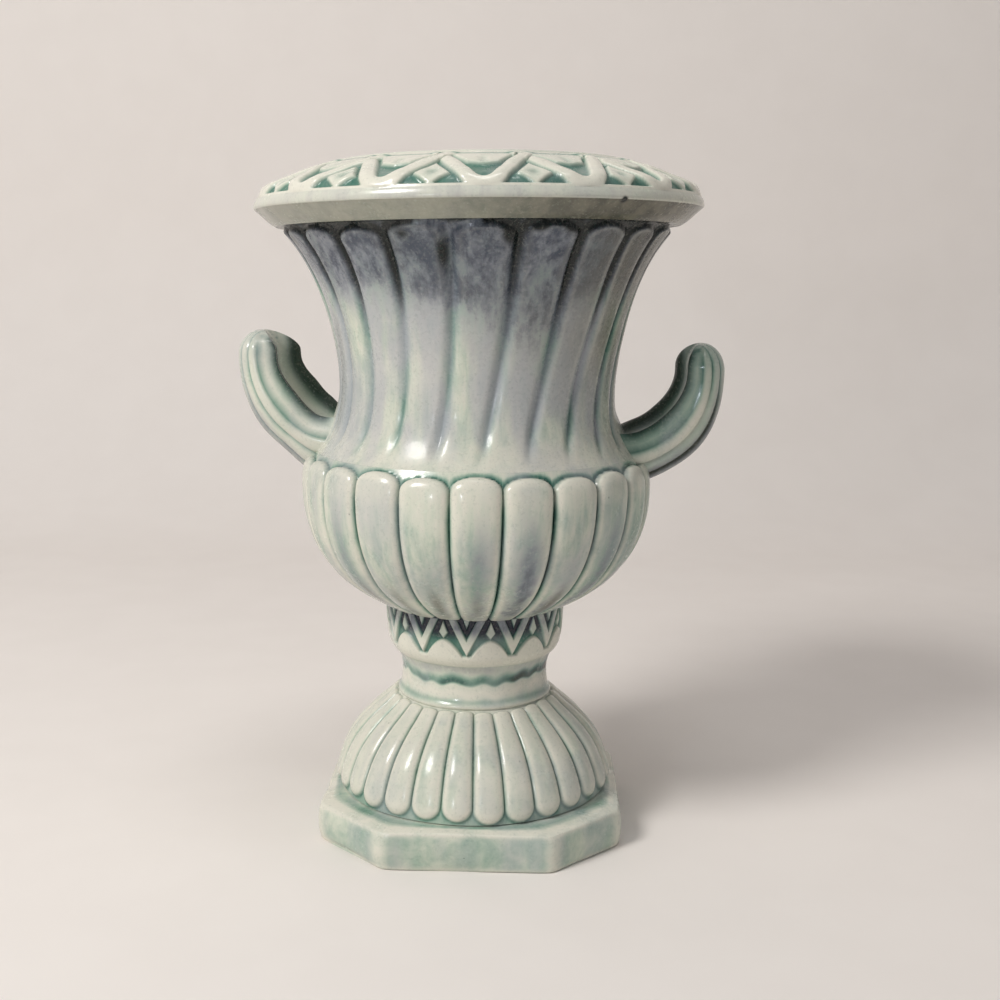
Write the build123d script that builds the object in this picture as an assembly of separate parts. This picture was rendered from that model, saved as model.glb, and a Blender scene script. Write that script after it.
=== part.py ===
from build123d import *
import math
import os

# A glazed earthenware urn, built up from hollow sections that are luted one on
# another. Millimetres, +Z up, origin under the middle of the plinth.

# Heights of the sections, stacked from the table up
plinth_height = 13.2
foot_height = 27.3
stem_height = 14.9
collar_height = 15.8
bowl_height = 40.8
neck_height = 75.4
rim_height = 17.6

# Luted joints: a tongue on the lower section enters a rebate in the upper one
tongue_wall = 2.2
tongue_height = 2.5
luting_clearance = 0.3
overrun = 6.0

# The front, where the patterns start, as turns from +X
full_turn = 360.0
front_turn = -90.0

# Hollow underneath
base_bore_radius = 37.0
stem_bore_radius = 16.5

# Octagonal plinth
plinth_across_flats = 92.2
plinth_corner_cut = 20.2
plinth_top_round = 2.0
plinth_corner_round = 1.2

# Fluted foot
foot_flute_count = 28
foot_base_radius = 44.0
foot_top_radius = 26.2
foot_crown_radius = 35.4
foot_flute_round = 9.0
foot_ground_depth = 2.0
foot_toe_height = 4.5

# Stem
stem_fillet_radius = 26.6
stem_fillet_height = 1.8
stem_fillet_step = 1.1
stem_waist_radius = 22.8
stem_waist_height = 8.9
stem_top_radius = 24.0

# Chevron collar
chevron_count = 12
chevron_turn = -5.0
collar_foot_radius = 24.5
collar_edge_radius = 27.3
collar_edge_height = 5.0
collar_bulge_share = 0.67
collar_top_radius = 28.1
chevron_depth = 0.8
chevron_tip_height = 4.1

# Gadrooned bowl
gadroon_count = 22
bowl_radius = 53.5
bowl_belly_height = 35.8
bowl_crown_radius = 37.9
gadroon_round = 13.0
bowl_wall = 6.5
bowl_floor = 7.0

# Fluted neck
neck_base_radius = 49.0
neck_spigot_radius = 49.5
neck_flare_height = 4.0
throat_radius = 42.3
throat_height = 25.0
shoulder_radius = 50.8
shoulder_height = 60.6
neck_top_radius = 64.5
neck_wall = 5.5
panel_round = 34.0
panel_half_width = 12.0
panel_depth = 12.0
groove_round = 1.9
groove_depth = 1.2

# Strapwork rim
lip_radius = 67.2
lip_edge_radius = 66.9
lip_foot_height = 3.2
lip_height = 2.4
band_turn_centre = 61.3
band_turn_height = 5.9
band_turn_radius = 5.0
band_turn_angle = 60.0
band_crown_radius = 50.4
band_top_radius = 45.6
bead_groove = 0.8
mouth_radius = 42.0
rim_wall = 4.8
rim_hollow_radius = 57.5
rim_hollow_belly = 58.6
strap_unit_count = 15
strap_depth = 1.0

# Handles
handle_width = 21.2
handle_thickness = 14.1
handle_crown_radius = 10.7
handle_back_width = 17.6
handle_back_hollow = 1.2
handle_reed_count = 7
handle_reed_rise = 0.55
handle_sweep_radius = 27.2
handle_centre_radius = 40.4
handle_centre_height = 33.8
handle_tip_length = 7.6
handle_root_turn = 93.0
seat_foot_radius = 50.6
seat_top_radius = 43.9
seat_height = 20.0
left_handle_turn = 174.0
left_handle_lift = 1.5
right_handle_turn = -2.5
right_handle_lift = -1.5

# Levels of the luted joints
foot_level = plinth_height
stem_level = foot_level + foot_height
collar_level = stem_level + stem_height
bowl_level = collar_level + collar_height
neck_level = bowl_level + bowl_height
rim_level = neck_level + neck_height
mouth_level = rim_level + rim_height
widest = lip_radius + overrun


def spun(edges):
    # A closed line in the XZ plane, turned about the vase's axis
    return revolve(make_face(edges), axis=Axis.Z, revolution_arc=full_turn)


def ring(inner_radius, outer_radius, low, high):
    outer = Cylinder(outer_radius, high - low, align=(Align.CENTER, Align.CENTER, Align.MIN))
    inner = Cylinder(inner_radius, high - low, align=(Align.CENTER, Align.CENTER, Align.MIN))
    return Pos(0, 0, low) * (outer - inner)


def tongue(bore_radius, level):
    return ring(bore_radius, bore_radius + tongue_wall, level, level + tongue_height)


def rebate(bore_radius, level):
    inner_radius = bore_radius - luting_clearance
    outer_radius = bore_radius + tongue_wall + luting_clearance
    return ring(inner_radius, outer_radius, level, level + tongue_height + luting_clearance)


def sector(count, low, high):
    # The wedge of one repeat, from the axis outwards, centred on +X
    half_angle = math.pi / count
    side_x = widest * math.cos(half_angle)
    side_y = widest * math.sin(half_angle)
    corners = [(0, 0, low), (side_x, -side_y, low), (side_x, side_y, low)]
    return extrude(make_face(Polyline(*corners, close=True)), amount=high - low, dir=(0, 0, 1))


def around(one, count, start_turn):
    # A repeat is centred on start_turn, and the others follow it evenly
    copies = [Rot(0, 0, start_turn + full_turn * step / count) * one for step in range(count)]
    return copies[0].fuse(*copies[1:])


def height_on(centre, radius, at_radius):
    return centre[1] + math.sqrt(radius**2 - (at_radius - centre[0]) ** 2)


# Octagonal plinth

def octagonal_plinth():
    half = plinth_across_flats / 2
    near = half - plinth_corner_cut
    corners = [(half, near), (near, half), (-near, half), (-half, near)]
    corners += [(-half, -near), (-near, -half), (near, -half), (half, -near)]
    block = extrude(make_face(Polyline(*corners, close=True)), amount=plinth_height, dir=(0, 0, 1))
    block = fillet(block.edges().filter_by(Axis.Z), plinth_corner_round)
    block = fillet(block.edges().group_by(Axis.Z)[-1], plinth_top_round)
    bore = Pos(0, 0, -overrun) * Cylinder(
        base_bore_radius,
        plinth_height + 2 * overrun,
        align=(Align.CENTER, Align.CENTER, Align.MIN),
    )
    return block - bore + tongue(base_bore_radius, foot_level)


# Fluted foot: convex flutes along one circular arc, rounded at their toes

def crown_centre(low_radius, low_level, high_radius, high_level, arc_radius):
    chord_r = high_radius - low_radius
    chord_z = high_level - low_level
    chord = math.hypot(chord_r, chord_z)
    reach = math.sqrt(arc_radius**2 - (chord / 2) ** 2)
    middle_r = (low_radius + high_radius) / 2
    middle_z = (low_level + high_level) / 2
    return (middle_r - reach * chord_z / chord, middle_z + reach * chord_r / chord)


def fluted_foot():
    centre = crown_centre(
        foot_base_radius, foot_level, foot_top_radius, stem_level, foot_crown_radius
    )
    toe_level = foot_level + foot_toe_height
    tube_path = foot_crown_radius - foot_flute_round
    toe_angle = math.asin((toe_level - centre[1]) / foot_crown_radius)
    toe_r = centre[0] + tube_path * math.cos(toe_angle)
    toe_z = centre[1] + tube_path * math.sin(toe_angle)
    pivot = Axis((centre[0], 0, centre[1]), (0, -1, 0))
    toe_plane = Plane(
        origin=(toe_r, 0, toe_z),
        x_dir=(0, 1, 0),
        z_dir=(-math.sin(toe_angle), 0, math.cos(toe_angle)),
    )
    flute = revolve(toe_plane * Circle(foot_flute_round), axis=pivot, revolution_arc=full_turn / 4)
    flute += Pos(toe_r, 0, toe_z) * Sphere(foot_flute_round)
    ground_radius = foot_crown_radius - foot_ground_depth
    ground_base = centre[0] + math.sqrt(ground_radius**2 - (foot_level - centre[1]) ** 2)
    ground_top = centre[0] + math.sqrt(ground_radius**2 - (stem_level - centre[1]) ** 2)
    ground_mid = (ground_base + ground_top) / 2
    ground = spun(
        [
            Line((0, 0, foot_level), (ground_base, 0, foot_level)),
            ThreePointArc(
                (ground_base, 0, foot_level),
                (ground_mid, 0, height_on(centre, ground_radius, ground_mid)),
                (ground_top, 0, stem_level),
            ),
            Line((ground_top, 0, stem_level), (0, 0, stem_level)),
            Line((0, 0, stem_level), (0, 0, foot_level)),
        ]
    )
    hollow_radius = math.hypot(base_bore_radius - centre[0], foot_level - centre[1])
    hollow_top = height_on(centre, hollow_radius, stem_bore_radius)
    hollow_mid = (base_bore_radius + stem_bore_radius) / 2
    hollow = spun(
        [
            Line((0, 0, foot_level), (base_bore_radius, 0, foot_level)),
            ThreePointArc(
                (base_bore_radius, 0, foot_level),
                (hollow_mid, 0, height_on(centre, hollow_radius, hollow_mid)),
                (stem_bore_radius, 0, hollow_top),
            ),
            Line((stem_bore_radius, 0, hollow_top), (stem_bore_radius, 0, stem_level)),
            Line((stem_bore_radius, 0, stem_level), (0, 0, stem_level)),
            Line((0, 0, stem_level), (0, 0, foot_level)),
        ]
    )
    wedge = sector(foot_flute_count, foot_level, stem_level)
    one = ((flute & wedge) + (ground & wedge)) - hollow
    between_flutes = front_turn + full_turn / foot_flute_count / 2
    whole = around(one, foot_flute_count, between_flutes)
    return whole - rebate(base_bore_radius, foot_level) + tongue(stem_bore_radius, stem_level)


# Stem: a thin fillet, then a hollow moulding

def stem_waist():
    fillet_level = stem_level + stem_fillet_height
    waist_level = stem_level + stem_waist_height
    stem_foot_radius = foot_top_radius - stem_fillet_step
    shell = spun(
        [
            Line((stem_bore_radius, 0, stem_level), (foot_top_radius, 0, stem_level)),
            ThreePointArc(
                (foot_top_radius, 0, stem_level),
                (stem_fillet_radius, 0, (stem_level + fillet_level) / 2),
                (foot_top_radius, 0, fillet_level),
            ),
            Line((foot_top_radius, 0, fillet_level), (stem_foot_radius, 0, fillet_level)),
            ThreePointArc(
                (stem_foot_radius, 0, fillet_level),
                (stem_waist_radius, 0, waist_level),
                (stem_top_radius, 0, collar_level),
            ),
            Line((stem_top_radius, 0, collar_level), (stem_bore_radius, 0, collar_level)),
            Line((stem_bore_radius, 0, collar_level), (stem_bore_radius, 0, stem_level)),
        ]
    )
    return shell - rebate(stem_bore_radius, stem_level) + tongue(stem_bore_radius, collar_level)


# Chevron collar: the straps stand proud of sunk pools, cut in from outside

# Points of each pool: share of one repeat round the collar, share of the way up
# from the tips of the straps to the bowl
inner_vee_shares = [(-0.23, 1.0), (0.0, 0.51), (0.23, 1.0), (0.12, 1.0), (0.0, 0.66), (-0.12, 1.0)]
channel_shares = [
    (0.48, 0.02), (0.35, 0.02), (0.20, 0.27), (0.0, 0.34),
    (-0.20, 0.27), (-0.35, 0.02), (-0.48, 0.02), (-0.08, 1.0), (-0.03, 1.0),
    (-0.115, 0.60), (0.0, 0.42), (0.115, 0.60), (0.03, 1.0), (0.08, 1.0),
]


def collar_pool(shares):
    # One pool, drawn on the plane through the axis and pushed out through the wall
    repeat_angle = 2 * math.pi / chevron_count
    tip_level = collar_level + chevron_tip_height
    points = []
    for across_share, up_share in shares:
        across = collar_top_radius * math.sin(across_share * repeat_angle)
        points.append((0, across, tip_level + up_share * (bowl_level - tip_level)))
    return extrude(make_face(Polyline(*points, close=True)), amount=widest, dir=(1, 0, 0))


def chevron_collar():
    edge_level = collar_level + collar_edge_height
    bulge = collar_bulge_share * (collar_edge_radius - collar_foot_radius)
    bulge_radius = collar_foot_radius + bulge
    shell = spun(
        [
            Line((stem_bore_radius, 0, collar_level), (collar_foot_radius, 0, collar_level)),
            ThreePointArc(
                (collar_foot_radius, 0, collar_level),
                (bulge_radius, 0, (collar_level + edge_level) / 2),
                (collar_edge_radius, 0, edge_level),
            ),
            Line((collar_edge_radius, 0, edge_level), (collar_top_radius, 0, bowl_level)),
            Line((collar_top_radius, 0, bowl_level), (stem_bore_radius, 0, bowl_level)),
            Line((stem_bore_radius, 0, bowl_level), (stem_bore_radius, 0, collar_level)),
        ]
    )
    pool_foot = (collar_edge_radius - chevron_depth, 0, collar_level)
    pool_top = (collar_top_radius - chevron_depth, 0, bowl_level)
    outside = spun(
        [
            Line(pool_foot, (widest, 0, collar_level)),
            Line((widest, 0, collar_level), (widest, 0, bowl_level)),
            Line((widest, 0, bowl_level), pool_top),
            Line(pool_top, pool_foot),
        ]
    )
    repeat = full_turn / chevron_count
    vee = collar_pool(inner_vee_shares) & outside
    channel = Rot(0, 0, repeat / 2) * (collar_pool(channel_shares) & outside)
    for step in range(chevron_count):
        turned = Rot(0, 0, front_turn + chevron_turn + step * repeat)
        shell = shell - [turned * vee, turned * channel]
    return shell - rebate(stem_bore_radius, collar_level) + tongue(stem_bore_radius, bowl_level)


# Gadrooned bowl: each gadroon is a ring segment with a ball at its top

def bowl_centre():
    return (bowl_radius - bowl_crown_radius, bowl_level + bowl_belly_height)


def gadrooned_bowl():
    centre_r, centre_z = bowl_centre()
    tube_r = bowl_radius - gadroon_round
    pivot = Axis((centre_r, 0, centre_z), (0, 1, 0))
    disc = Pos(tube_r, 0, centre_z) * Circle(gadroon_round)
    gadroon = revolve(disc, axis=pivot, revolution_arc=full_turn / 4)
    gadroon += Pos(tube_r, 0, centre_z) * Sphere(gadroon_round)
    seat_level = neck_level + neck_flare_height + overrun
    one = gadroon & sector(gadroon_count, bowl_level, seat_level)
    core_radius = centre_r + math.sqrt(bowl_crown_radius**2 - bowl_belly_height**2) - bowl_wall / 2
    core = Pos(0, 0, bowl_level) * Cylinder(
        core_radius, bowl_floor + overrun, align=(Align.CENTER, Align.CENTER, Align.MIN)
    )
    inner_radius = bowl_crown_radius - bowl_wall
    floor_level = bowl_level + bowl_floor
    floor_edge = centre_r + math.sqrt(inner_radius**2 - (centre_z - floor_level) ** 2)
    bend = math.atan2(centre_z - floor_level, floor_edge - centre_r) / 2
    neck_bore = neck_inner_base()[0]
    hollow = spun(
        [
            Line((0, 0, floor_level), (floor_edge, 0, floor_level)),
            ThreePointArc(
                (floor_edge, 0, floor_level),
                (centre_r + inner_radius * math.cos(bend), 0, centre_z - inner_radius * math.sin(bend)),
                (centre_r + inner_radius, 0, centre_z),
            ),
            Line((centre_r + inner_radius, 0, centre_z), (neck_bore, 0, neck_level)),
            Line((neck_bore, 0, neck_level), (neck_bore, 0, seat_level)),
            Line((neck_bore, 0, seat_level), (0, 0, seat_level)),
            Line((0, 0, seat_level), (0, 0, floor_level)),
        ]
    )
    neck_seat = Pos(0, 0, neck_level) * Cylinder(
        neck_spigot_radius + luting_clearance,
        seat_level - neck_level,
        align=(Align.CENTER, Align.CENTER, Align.MIN),
    )
    whole = around(one, gadroon_count, front_turn) + core - hollow - neck_seat
    return whole - rebate(stem_bore_radius, bowl_level)


# Fluted neck: a flare of three arcs that run into one another

def flare_angles():
    # Lean of the wall from upright at the base, the shoulder and the top
    base = 2 * math.atan2(neck_base_radius - throat_radius, throat_height - neck_flare_height)
    shoulder = 2 * math.atan2(shoulder_radius - throat_radius, shoulder_height - throat_height)
    chord = math.atan2(neck_top_radius - shoulder_radius, neck_height - shoulder_height)
    return base, shoulder, 2 * chord - shoulder


def flare_points(inset):
    # Base, throat, shoulder and top of the flare, moved into the wall by inset
    base, shoulder, top = flare_angles()
    return [
        (
            neck_base_radius - inset * math.cos(base),
            neck_level + neck_flare_height - inset * math.sin(base),
        ),
        (throat_radius - inset, neck_level + throat_height),
        (
            shoulder_radius - inset * math.cos(shoulder),
            neck_level + shoulder_height + inset * math.sin(shoulder),
        ),
        (
            neck_top_radius - inset * math.cos(top),
            rim_level + inset * math.sin(top),
        ),
    ]


def neck_inner_base():
    return flare_points(neck_wall)[0]


def neck_inner_top_radius():
    # Where the inside of the flare crosses the joint with the rim
    _, shoulder, top = flare_angles()
    chord = math.hypot(neck_top_radius - shoulder_radius, neck_height - shoulder_height)
    arc_radius = chord / (2 * math.sin((top - shoulder) / 2))
    centre_r = neck_top_radius + arc_radius * math.cos(top)
    centre_z = rim_level - arc_radius * math.sin(top)
    return centre_r - math.sqrt((arc_radius + neck_wall) ** 2 - (rim_level - centre_z) ** 2)


def flare_edges(inset):
    base, throat, shoulder, top = flare_points(inset)
    _, shoulder_lean, _ = flare_angles()
    low = TangentArc((throat[0], 0, throat[1]), (base[0], 0, base[1]), tangent=(0, 0, -1))
    middle = TangentArc((throat[0], 0, throat[1]), (shoulder[0], 0, shoulder[1]), tangent=(0, 0, 1))
    high = TangentArc(
        (shoulder[0], 0, shoulder[1]),
        (top[0], 0, top[1]),
        tangent=(math.sin(shoulder_lean), 0, math.cos(shoulder_lean)),
    )
    return low, middle, high


def panel_section(plane):
    sag = panel_round - math.sqrt(panel_round**2 - panel_half_width**2)
    face = make_face(
        [
            ThreePointArc((-panel_half_width, sag), (0, 0), (panel_half_width, sag)),
            Line((panel_half_width, sag), (panel_half_width, panel_depth)),
            Line((panel_half_width, panel_depth), (-panel_half_width, panel_depth)),
            Line((-panel_half_width, panel_depth), (-panel_half_width, sag)),
        ]
    )
    return plane * face


def neck_hollow():
    low, middle, high = flare_edges(neck_wall)
    base, _, _, top = flare_points(neck_wall)
    foot_level_inside = neck_level - overrun
    return spun(
        [
            Line((0, 0, foot_level_inside), (base[0], 0, foot_level_inside)),
            Line((base[0], 0, foot_level_inside), (base[0], 0, base[1])),
            low,
            middle,
            high,
            Line((top[0], 0, top[1]), (0, 0, top[1])),
            Line((0, 0, top[1]), (0, 0, foot_level_inside)),
        ]
    )


def groove_section(plane):
    return plane * Pos(0, groove_depth - groove_round) * Circle(groove_round)


def along_flare(section_on):
    # A section swept down and up from the throat, over all three arcs of the flare
    throat = (throat_radius, 0, neck_level + throat_height)
    low, middle, high = flare_edges(0)
    down_radius = low.radius
    down = Axis((throat_radius + down_radius, 0, throat[2]), (0, -1, 0))
    section = section_on(Plane(origin=throat, x_dir=(0, 1, 0), z_dir=(0, 0, 1)))
    base_lean, shoulder_lean, top_lean = flare_angles()
    extra = math.degrees(overrun / down_radius)
    lower = revolve(section, axis=down, revolution_arc=math.degrees(base_lean) + extra)
    up = Axis((throat_radius + middle.radius, 0, throat[2]), (0, 1, 0))
    middle_part = revolve(section, axis=up, revolution_arc=math.degrees(shoulder_lean))
    shoulder = (shoulder_radius, 0, neck_level + shoulder_height)
    turned = Plane(
        origin=shoulder,
        x_dir=(0, 1, 0),
        z_dir=(math.sin(shoulder_lean), 0, math.cos(shoulder_lean)),
    )
    pivot_r = shoulder_radius + high.radius * math.cos(shoulder_lean)
    pivot_z = shoulder[2] - high.radius * math.sin(shoulder_lean)
    upper = revolve(
        section_on(turned),
        axis=Axis((pivot_r, 0, pivot_z), (0, 1, 0)),
        revolution_arc=math.degrees(top_lean - shoulder_lean) + extra,
    )
    return lower + middle_part + upper


def neck_panel():
    # One long, slightly convex panel, with half of the groove at each of its sides
    flare_level = neck_level + neck_flare_height
    wedge = sector(gadroon_count, flare_level, rim_level)
    groove = along_flare(groove_section)
    half_repeat = full_turn / gadroon_count / 2
    panel = (along_flare(panel_section) & wedge) - neck_hollow()
    return panel - Rot(0, 0, half_repeat) * groove - Rot(0, 0, -half_repeat) * groove


def fluted_neck():
    bore_radius = neck_inner_base()[0]
    flare_level = neck_level + neck_flare_height
    spigot = ring(bore_radius, neck_spigot_radius, neck_level, flare_level)
    over_valley = front_turn + full_turn / gadroon_count / 2
    panels = around(neck_panel(), gadroon_count, over_valley)
    pads = (handle_sweep() & handle_seat()) - bowl_envelope() - neck_hollow()
    body = panels + spigot + placed_left(pads) + placed_right(pads)
    return body + tongue(neck_inner_top_radius(), rim_level)


# Strapwork rim: a shell whose sunk pools leave the interlaced straps standing

def band_profile(depth):
    # The band's section, moved into the wall by depth: foot, turn, shoulder, crown and top
    turn = math.radians(band_turn_angle)
    centre_z = rim_level + band_turn_height
    reach = band_turn_radius - band_crown_radius
    crown_r = band_turn_centre + reach * math.cos(turn)
    crown_z = centre_z + reach * math.sin(turn)
    small = band_turn_radius - depth
    large = band_crown_radius - depth
    end_turn = math.acos((band_top_radius - crown_r) / large)
    middle = (turn + end_turn) / 2
    return [
        (band_turn_centre + small, 0, centre_z),
        (
            band_turn_centre + small * math.cos(turn / 2),
            0,
            centre_z + small * math.sin(turn / 2),
        ),
        (band_turn_centre + small * math.cos(turn), 0, centre_z + small * math.sin(turn)),
        (crown_r + large * math.cos(middle), 0, crown_z + large * math.sin(middle)),
        (band_top_radius, 0, crown_z + large * math.sin(end_turn)),
    ]


def underside_level(at_radius):
    turn = math.radians(band_turn_angle)
    reach = band_turn_radius - band_crown_radius
    crown_r = band_turn_centre + reach * math.cos(turn)
    crown_z = rim_level + band_turn_height + reach * math.sin(turn)
    return crown_z + math.sqrt((band_crown_radius - rim_wall) ** 2 - (at_radius - crown_r) ** 2)


def band_outside():
    # Everything over the floor of the pools
    foot, turn, shoulder, crown, top = band_profile(strap_depth)
    high = mouth_level + overrun
    return spun(
        [
            ThreePointArc(foot, turn, shoulder),
            ThreePointArc(shoulder, crown, top),
            Line(top, (band_top_radius, 0, high)),
            Line((band_top_radius, 0, high), (widest, 0, high)),
            Line((widest, 0, high), (widest, 0, foot[2])),
            Line((widest, 0, foot[2]), foot),
        ]
    )


# Points of the pools: share of half a repeat round the rim, share of the way in
# from the lip to the bead
crescent_shares = [(-0.34, 0.34), (0.0, 0.06), (0.34, 0.34), (0.0, 0.32)]
tongue_side_shares = [(0.29, 0.315), (0.33, 0.315), (0.57, 0.575), (0.88, 0.90), (0.82, 0.90), (0.51, 0.575)]
tongue_pool_shares = [(0.0, 0.46), (0.07, 0.58), (0.0, 0.70), (-0.07, 0.58)]
kite_side_shares = [
    (0.22, 0.02), (0.93, 0.02), (0.66, 0.13), (1.01, 0.46),
    (1.01, 0.73), (0.77, 0.53), (0.57, 0.31), (0.43, 0.135),
]
kite_heart_shares = [(0.93, 0.12), (1.0, 0.08), (1.07, 0.12), (1.0, 0.27)]


def rim_point(shares):
    angle = shares[0] * math.pi / strap_unit_count
    foot_radius = band_turn_centre + band_turn_radius
    radius = foot_radius - shares[1] * (foot_radius - band_top_radius)
    return (radius * math.cos(angle), radius * math.sin(angle), rim_level)


def rim_pools():
    left, low, right, high = [rim_point(shares) for shares in crescent_shares]
    faces = [make_face([ThreePointArc(left, low, right), ThreePointArc(right, high, left)])]
    low, right, high, left = [rim_point(shares) for shares in tongue_pool_shares]
    faces.append(make_face([ThreePointArc(low, right, high), ThreePointArc(high, left, low)]))
    for outline_shares in (tongue_side_shares, kite_side_shares):
        side = [rim_point(shares) for shares in outline_shares]
        faces.append(make_face(Polyline(*side, close=True)))
        faces.append(mirror(faces[-1], about=Plane.XZ))
    heart = [rim_point(shares) for shares in kite_heart_shares]
    faces.append(make_face(Polyline(*heart, close=True)))
    outside = band_outside()
    return [extrude(face, amount=rim_height + overrun, dir=(0, 0, 1)) & outside for face in faces]


def strapwork_rim():
    foot, turn, shoulder, crown, top = band_profile(0)
    edge_foot = (lip_edge_radius, 0, rim_level + lip_foot_height)
    edge_top = (lip_edge_radius, 0, edge_foot[2] + lip_height)
    edge_mid = (lip_radius, 0, (edge_foot[2] + edge_top[2]) / 2)
    groove = (top[0] - bead_groove, 0, top[2] - bead_groove)
    bead_side = (mouth_radius, 0, groove[2])
    bead_top = ((groove[0] + mouth_radius) / 2, 0, mouth_level)
    bore = neck_inner_top_radius()
    hollow_side = (rim_hollow_radius, 0, underside_level(rim_hollow_radius))
    hollow_mid_radius = (rim_hollow_radius + mouth_radius) / 2
    hollow_mid = (hollow_mid_radius, 0, underside_level(hollow_mid_radius))
    mouth_foot = (mouth_radius, 0, underside_level(mouth_radius))
    belly = (rim_hollow_belly, 0, (rim_level + hollow_side[2]) / 2)
    shell = spun(
        [
            Line((bore, 0, rim_level), (neck_top_radius, 0, rim_level)),
            Line((neck_top_radius, 0, rim_level), edge_foot),
            ThreePointArc(edge_foot, edge_mid, edge_top),
            Line(edge_top, foot),
            ThreePointArc(foot, turn, shoulder),
            ThreePointArc(shoulder, crown, top),
            Line(top, groove),
            ThreePointArc(groove, bead_top, bead_side),
            Line(bead_side, mouth_foot),
            ThreePointArc(mouth_foot, hollow_mid, hollow_side),
            ThreePointArc(hollow_side, belly, (bore, 0, rim_level)),
        ]
    )
    pools = rim_pools()
    for step in range(strap_unit_count):
        turned = Rot(0, 0, front_turn + full_turn * step / strap_unit_count)
        shell = shell - [turned * pool for pool in pools]
    return shell - rebate(bore, rim_level)


# Handles: a reeded crescent carried round one arc, with a free rounded tip

def handle_path_end():
    return (handle_centre_radius + handle_sweep_radius, 0, neck_level + handle_centre_height)


def handle_section():
    half_thickness = handle_thickness / 2
    centre_up = half_thickness - handle_crown_radius
    valley_radius = handle_crown_radius - handle_reed_rise
    half_angle = math.asin(handle_width / 2 / handle_crown_radius)
    reed_angle = 2 * half_angle / handle_reed_count

    def on_crown(radius, angle):
        return (radius * math.sin(angle), centre_up + radius * math.cos(angle))

    edges = []
    for step in range(handle_reed_count):
        start = -half_angle + step * reed_angle
        edges.append(
            ThreePointArc(
                on_crown(valley_radius, start),
                on_crown(handle_crown_radius, start + reed_angle / 2),
                on_crown(valley_radius, start + reed_angle),
            )
        )
    half_back = handle_back_width / 2
    right = (half_back, -half_thickness)
    left = (-half_back, -half_thickness)
    edges.append(Line(on_crown(valley_radius, half_angle), right))
    edges.append(ThreePointArc(right, (0, handle_back_hollow - half_thickness), left))
    edges.append(Line(left, on_crown(valley_radius, -half_angle)))
    return make_face(edges)


def handle_sweep():
    end = handle_path_end()
    section = Plane(origin=end, x_dir=(0, -1, 0), z_dir=(0, 0, 1)) * handle_section()
    pivot = Axis((handle_centre_radius, 0, end[2]), (0, 1, 0))
    arm = revolve(section, axis=pivot, revolution_arc=handle_root_turn)
    side = Plane(origin=end, x_dir=(1, 0, 0), z_dir=(0, -1, 0))
    front = Plane(origin=end, x_dir=(0, 1, 0), z_dir=(1, 0, 0))
    side_round = extrude(
        side * Ellipse(handle_thickness / 2, handle_tip_length), amount=handle_width, both=True
    )
    front_round = extrude(
        front * Ellipse(handle_width / 2, handle_tip_length), amount=handle_width, both=True
    )
    tip = extrude(section, amount=handle_tip_length, dir=(0, 0, 1)) & side_round & front_round
    return arm + tip


def handle_seat():
    # The cone on which both roots are luted, as a solid from the axis outwards
    slope = (seat_foot_radius - seat_top_radius) / seat_height
    low = neck_level - overrun
    high = neck_level + seat_height + overrun
    return spun(
        [
            Line((0, 0, low), (seat_foot_radius + slope * overrun, 0, low)),
            Line(
                (seat_foot_radius + slope * overrun, 0, low),
                (seat_top_radius - slope * overrun, 0, high),
            ),
            Line((seat_top_radius - slope * overrun, 0, high), (0, 0, high)),
            Line((0, 0, high), (0, 0, low)),
        ]
    )


def bowl_envelope():
    # The tops of the gadroons, with room for the slip
    centre_z = bowl_centre()[1]
    tube = Torus(bowl_radius - gadroon_round, gadroon_round + luting_clearance)
    return Pos(0, 0, centre_z) * tube


def placed_left(shape):
    return Rot(0, 0, left_handle_turn) * (Pos(0, 0, left_handle_lift) * shape)


def placed_right(shape):
    return Rot(0, 0, right_handle_turn) * (Pos(0, 0, right_handle_lift) * shape)


def handle():
    return handle_sweep() - handle_seat()


def main():
    os.makedirs("parts", exist_ok=True)
    made = {
        "octagonal_plinth": octagonal_plinth(),
        "fluted_foot": fluted_foot(),
        "stem_waist": stem_waist(),
        "chevron_collar": chevron_collar(),
        "gadrooned_bowl": gadrooned_bowl(),
        "fluted_neck": fluted_neck(),
        "strapwork_rim": strapwork_rim(),
        "left_handle": placed_left(handle()) - bowl_envelope(),
        "right_handle": placed_right(handle()) - bowl_envelope(),
    }
    for name, shape in made.items():
        export_step(shape, f"parts/{name}.step")
        print(name, len(shape.solids()), round(shape.volume), shape.bounding_box())


main()
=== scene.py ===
import bpy
import math
import numpy as np
from mathutils import Matrix, Vector


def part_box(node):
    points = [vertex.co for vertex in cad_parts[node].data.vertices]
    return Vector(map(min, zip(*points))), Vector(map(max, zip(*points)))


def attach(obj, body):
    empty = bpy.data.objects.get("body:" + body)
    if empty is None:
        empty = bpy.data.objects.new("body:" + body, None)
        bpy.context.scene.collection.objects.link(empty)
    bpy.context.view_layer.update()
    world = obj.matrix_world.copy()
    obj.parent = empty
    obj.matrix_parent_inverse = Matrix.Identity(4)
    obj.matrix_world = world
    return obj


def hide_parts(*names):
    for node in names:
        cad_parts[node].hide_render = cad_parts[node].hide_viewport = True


# The glazed urn, in nine luted pieces. Seven of them are a section line spun round the axis,
# then carved in code with flutes, gadroons or straps. The two handles are swept, then reeded.
# Sizes in the dictionaries are millimetres, and heights in a section start at the piece's foot.

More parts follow.
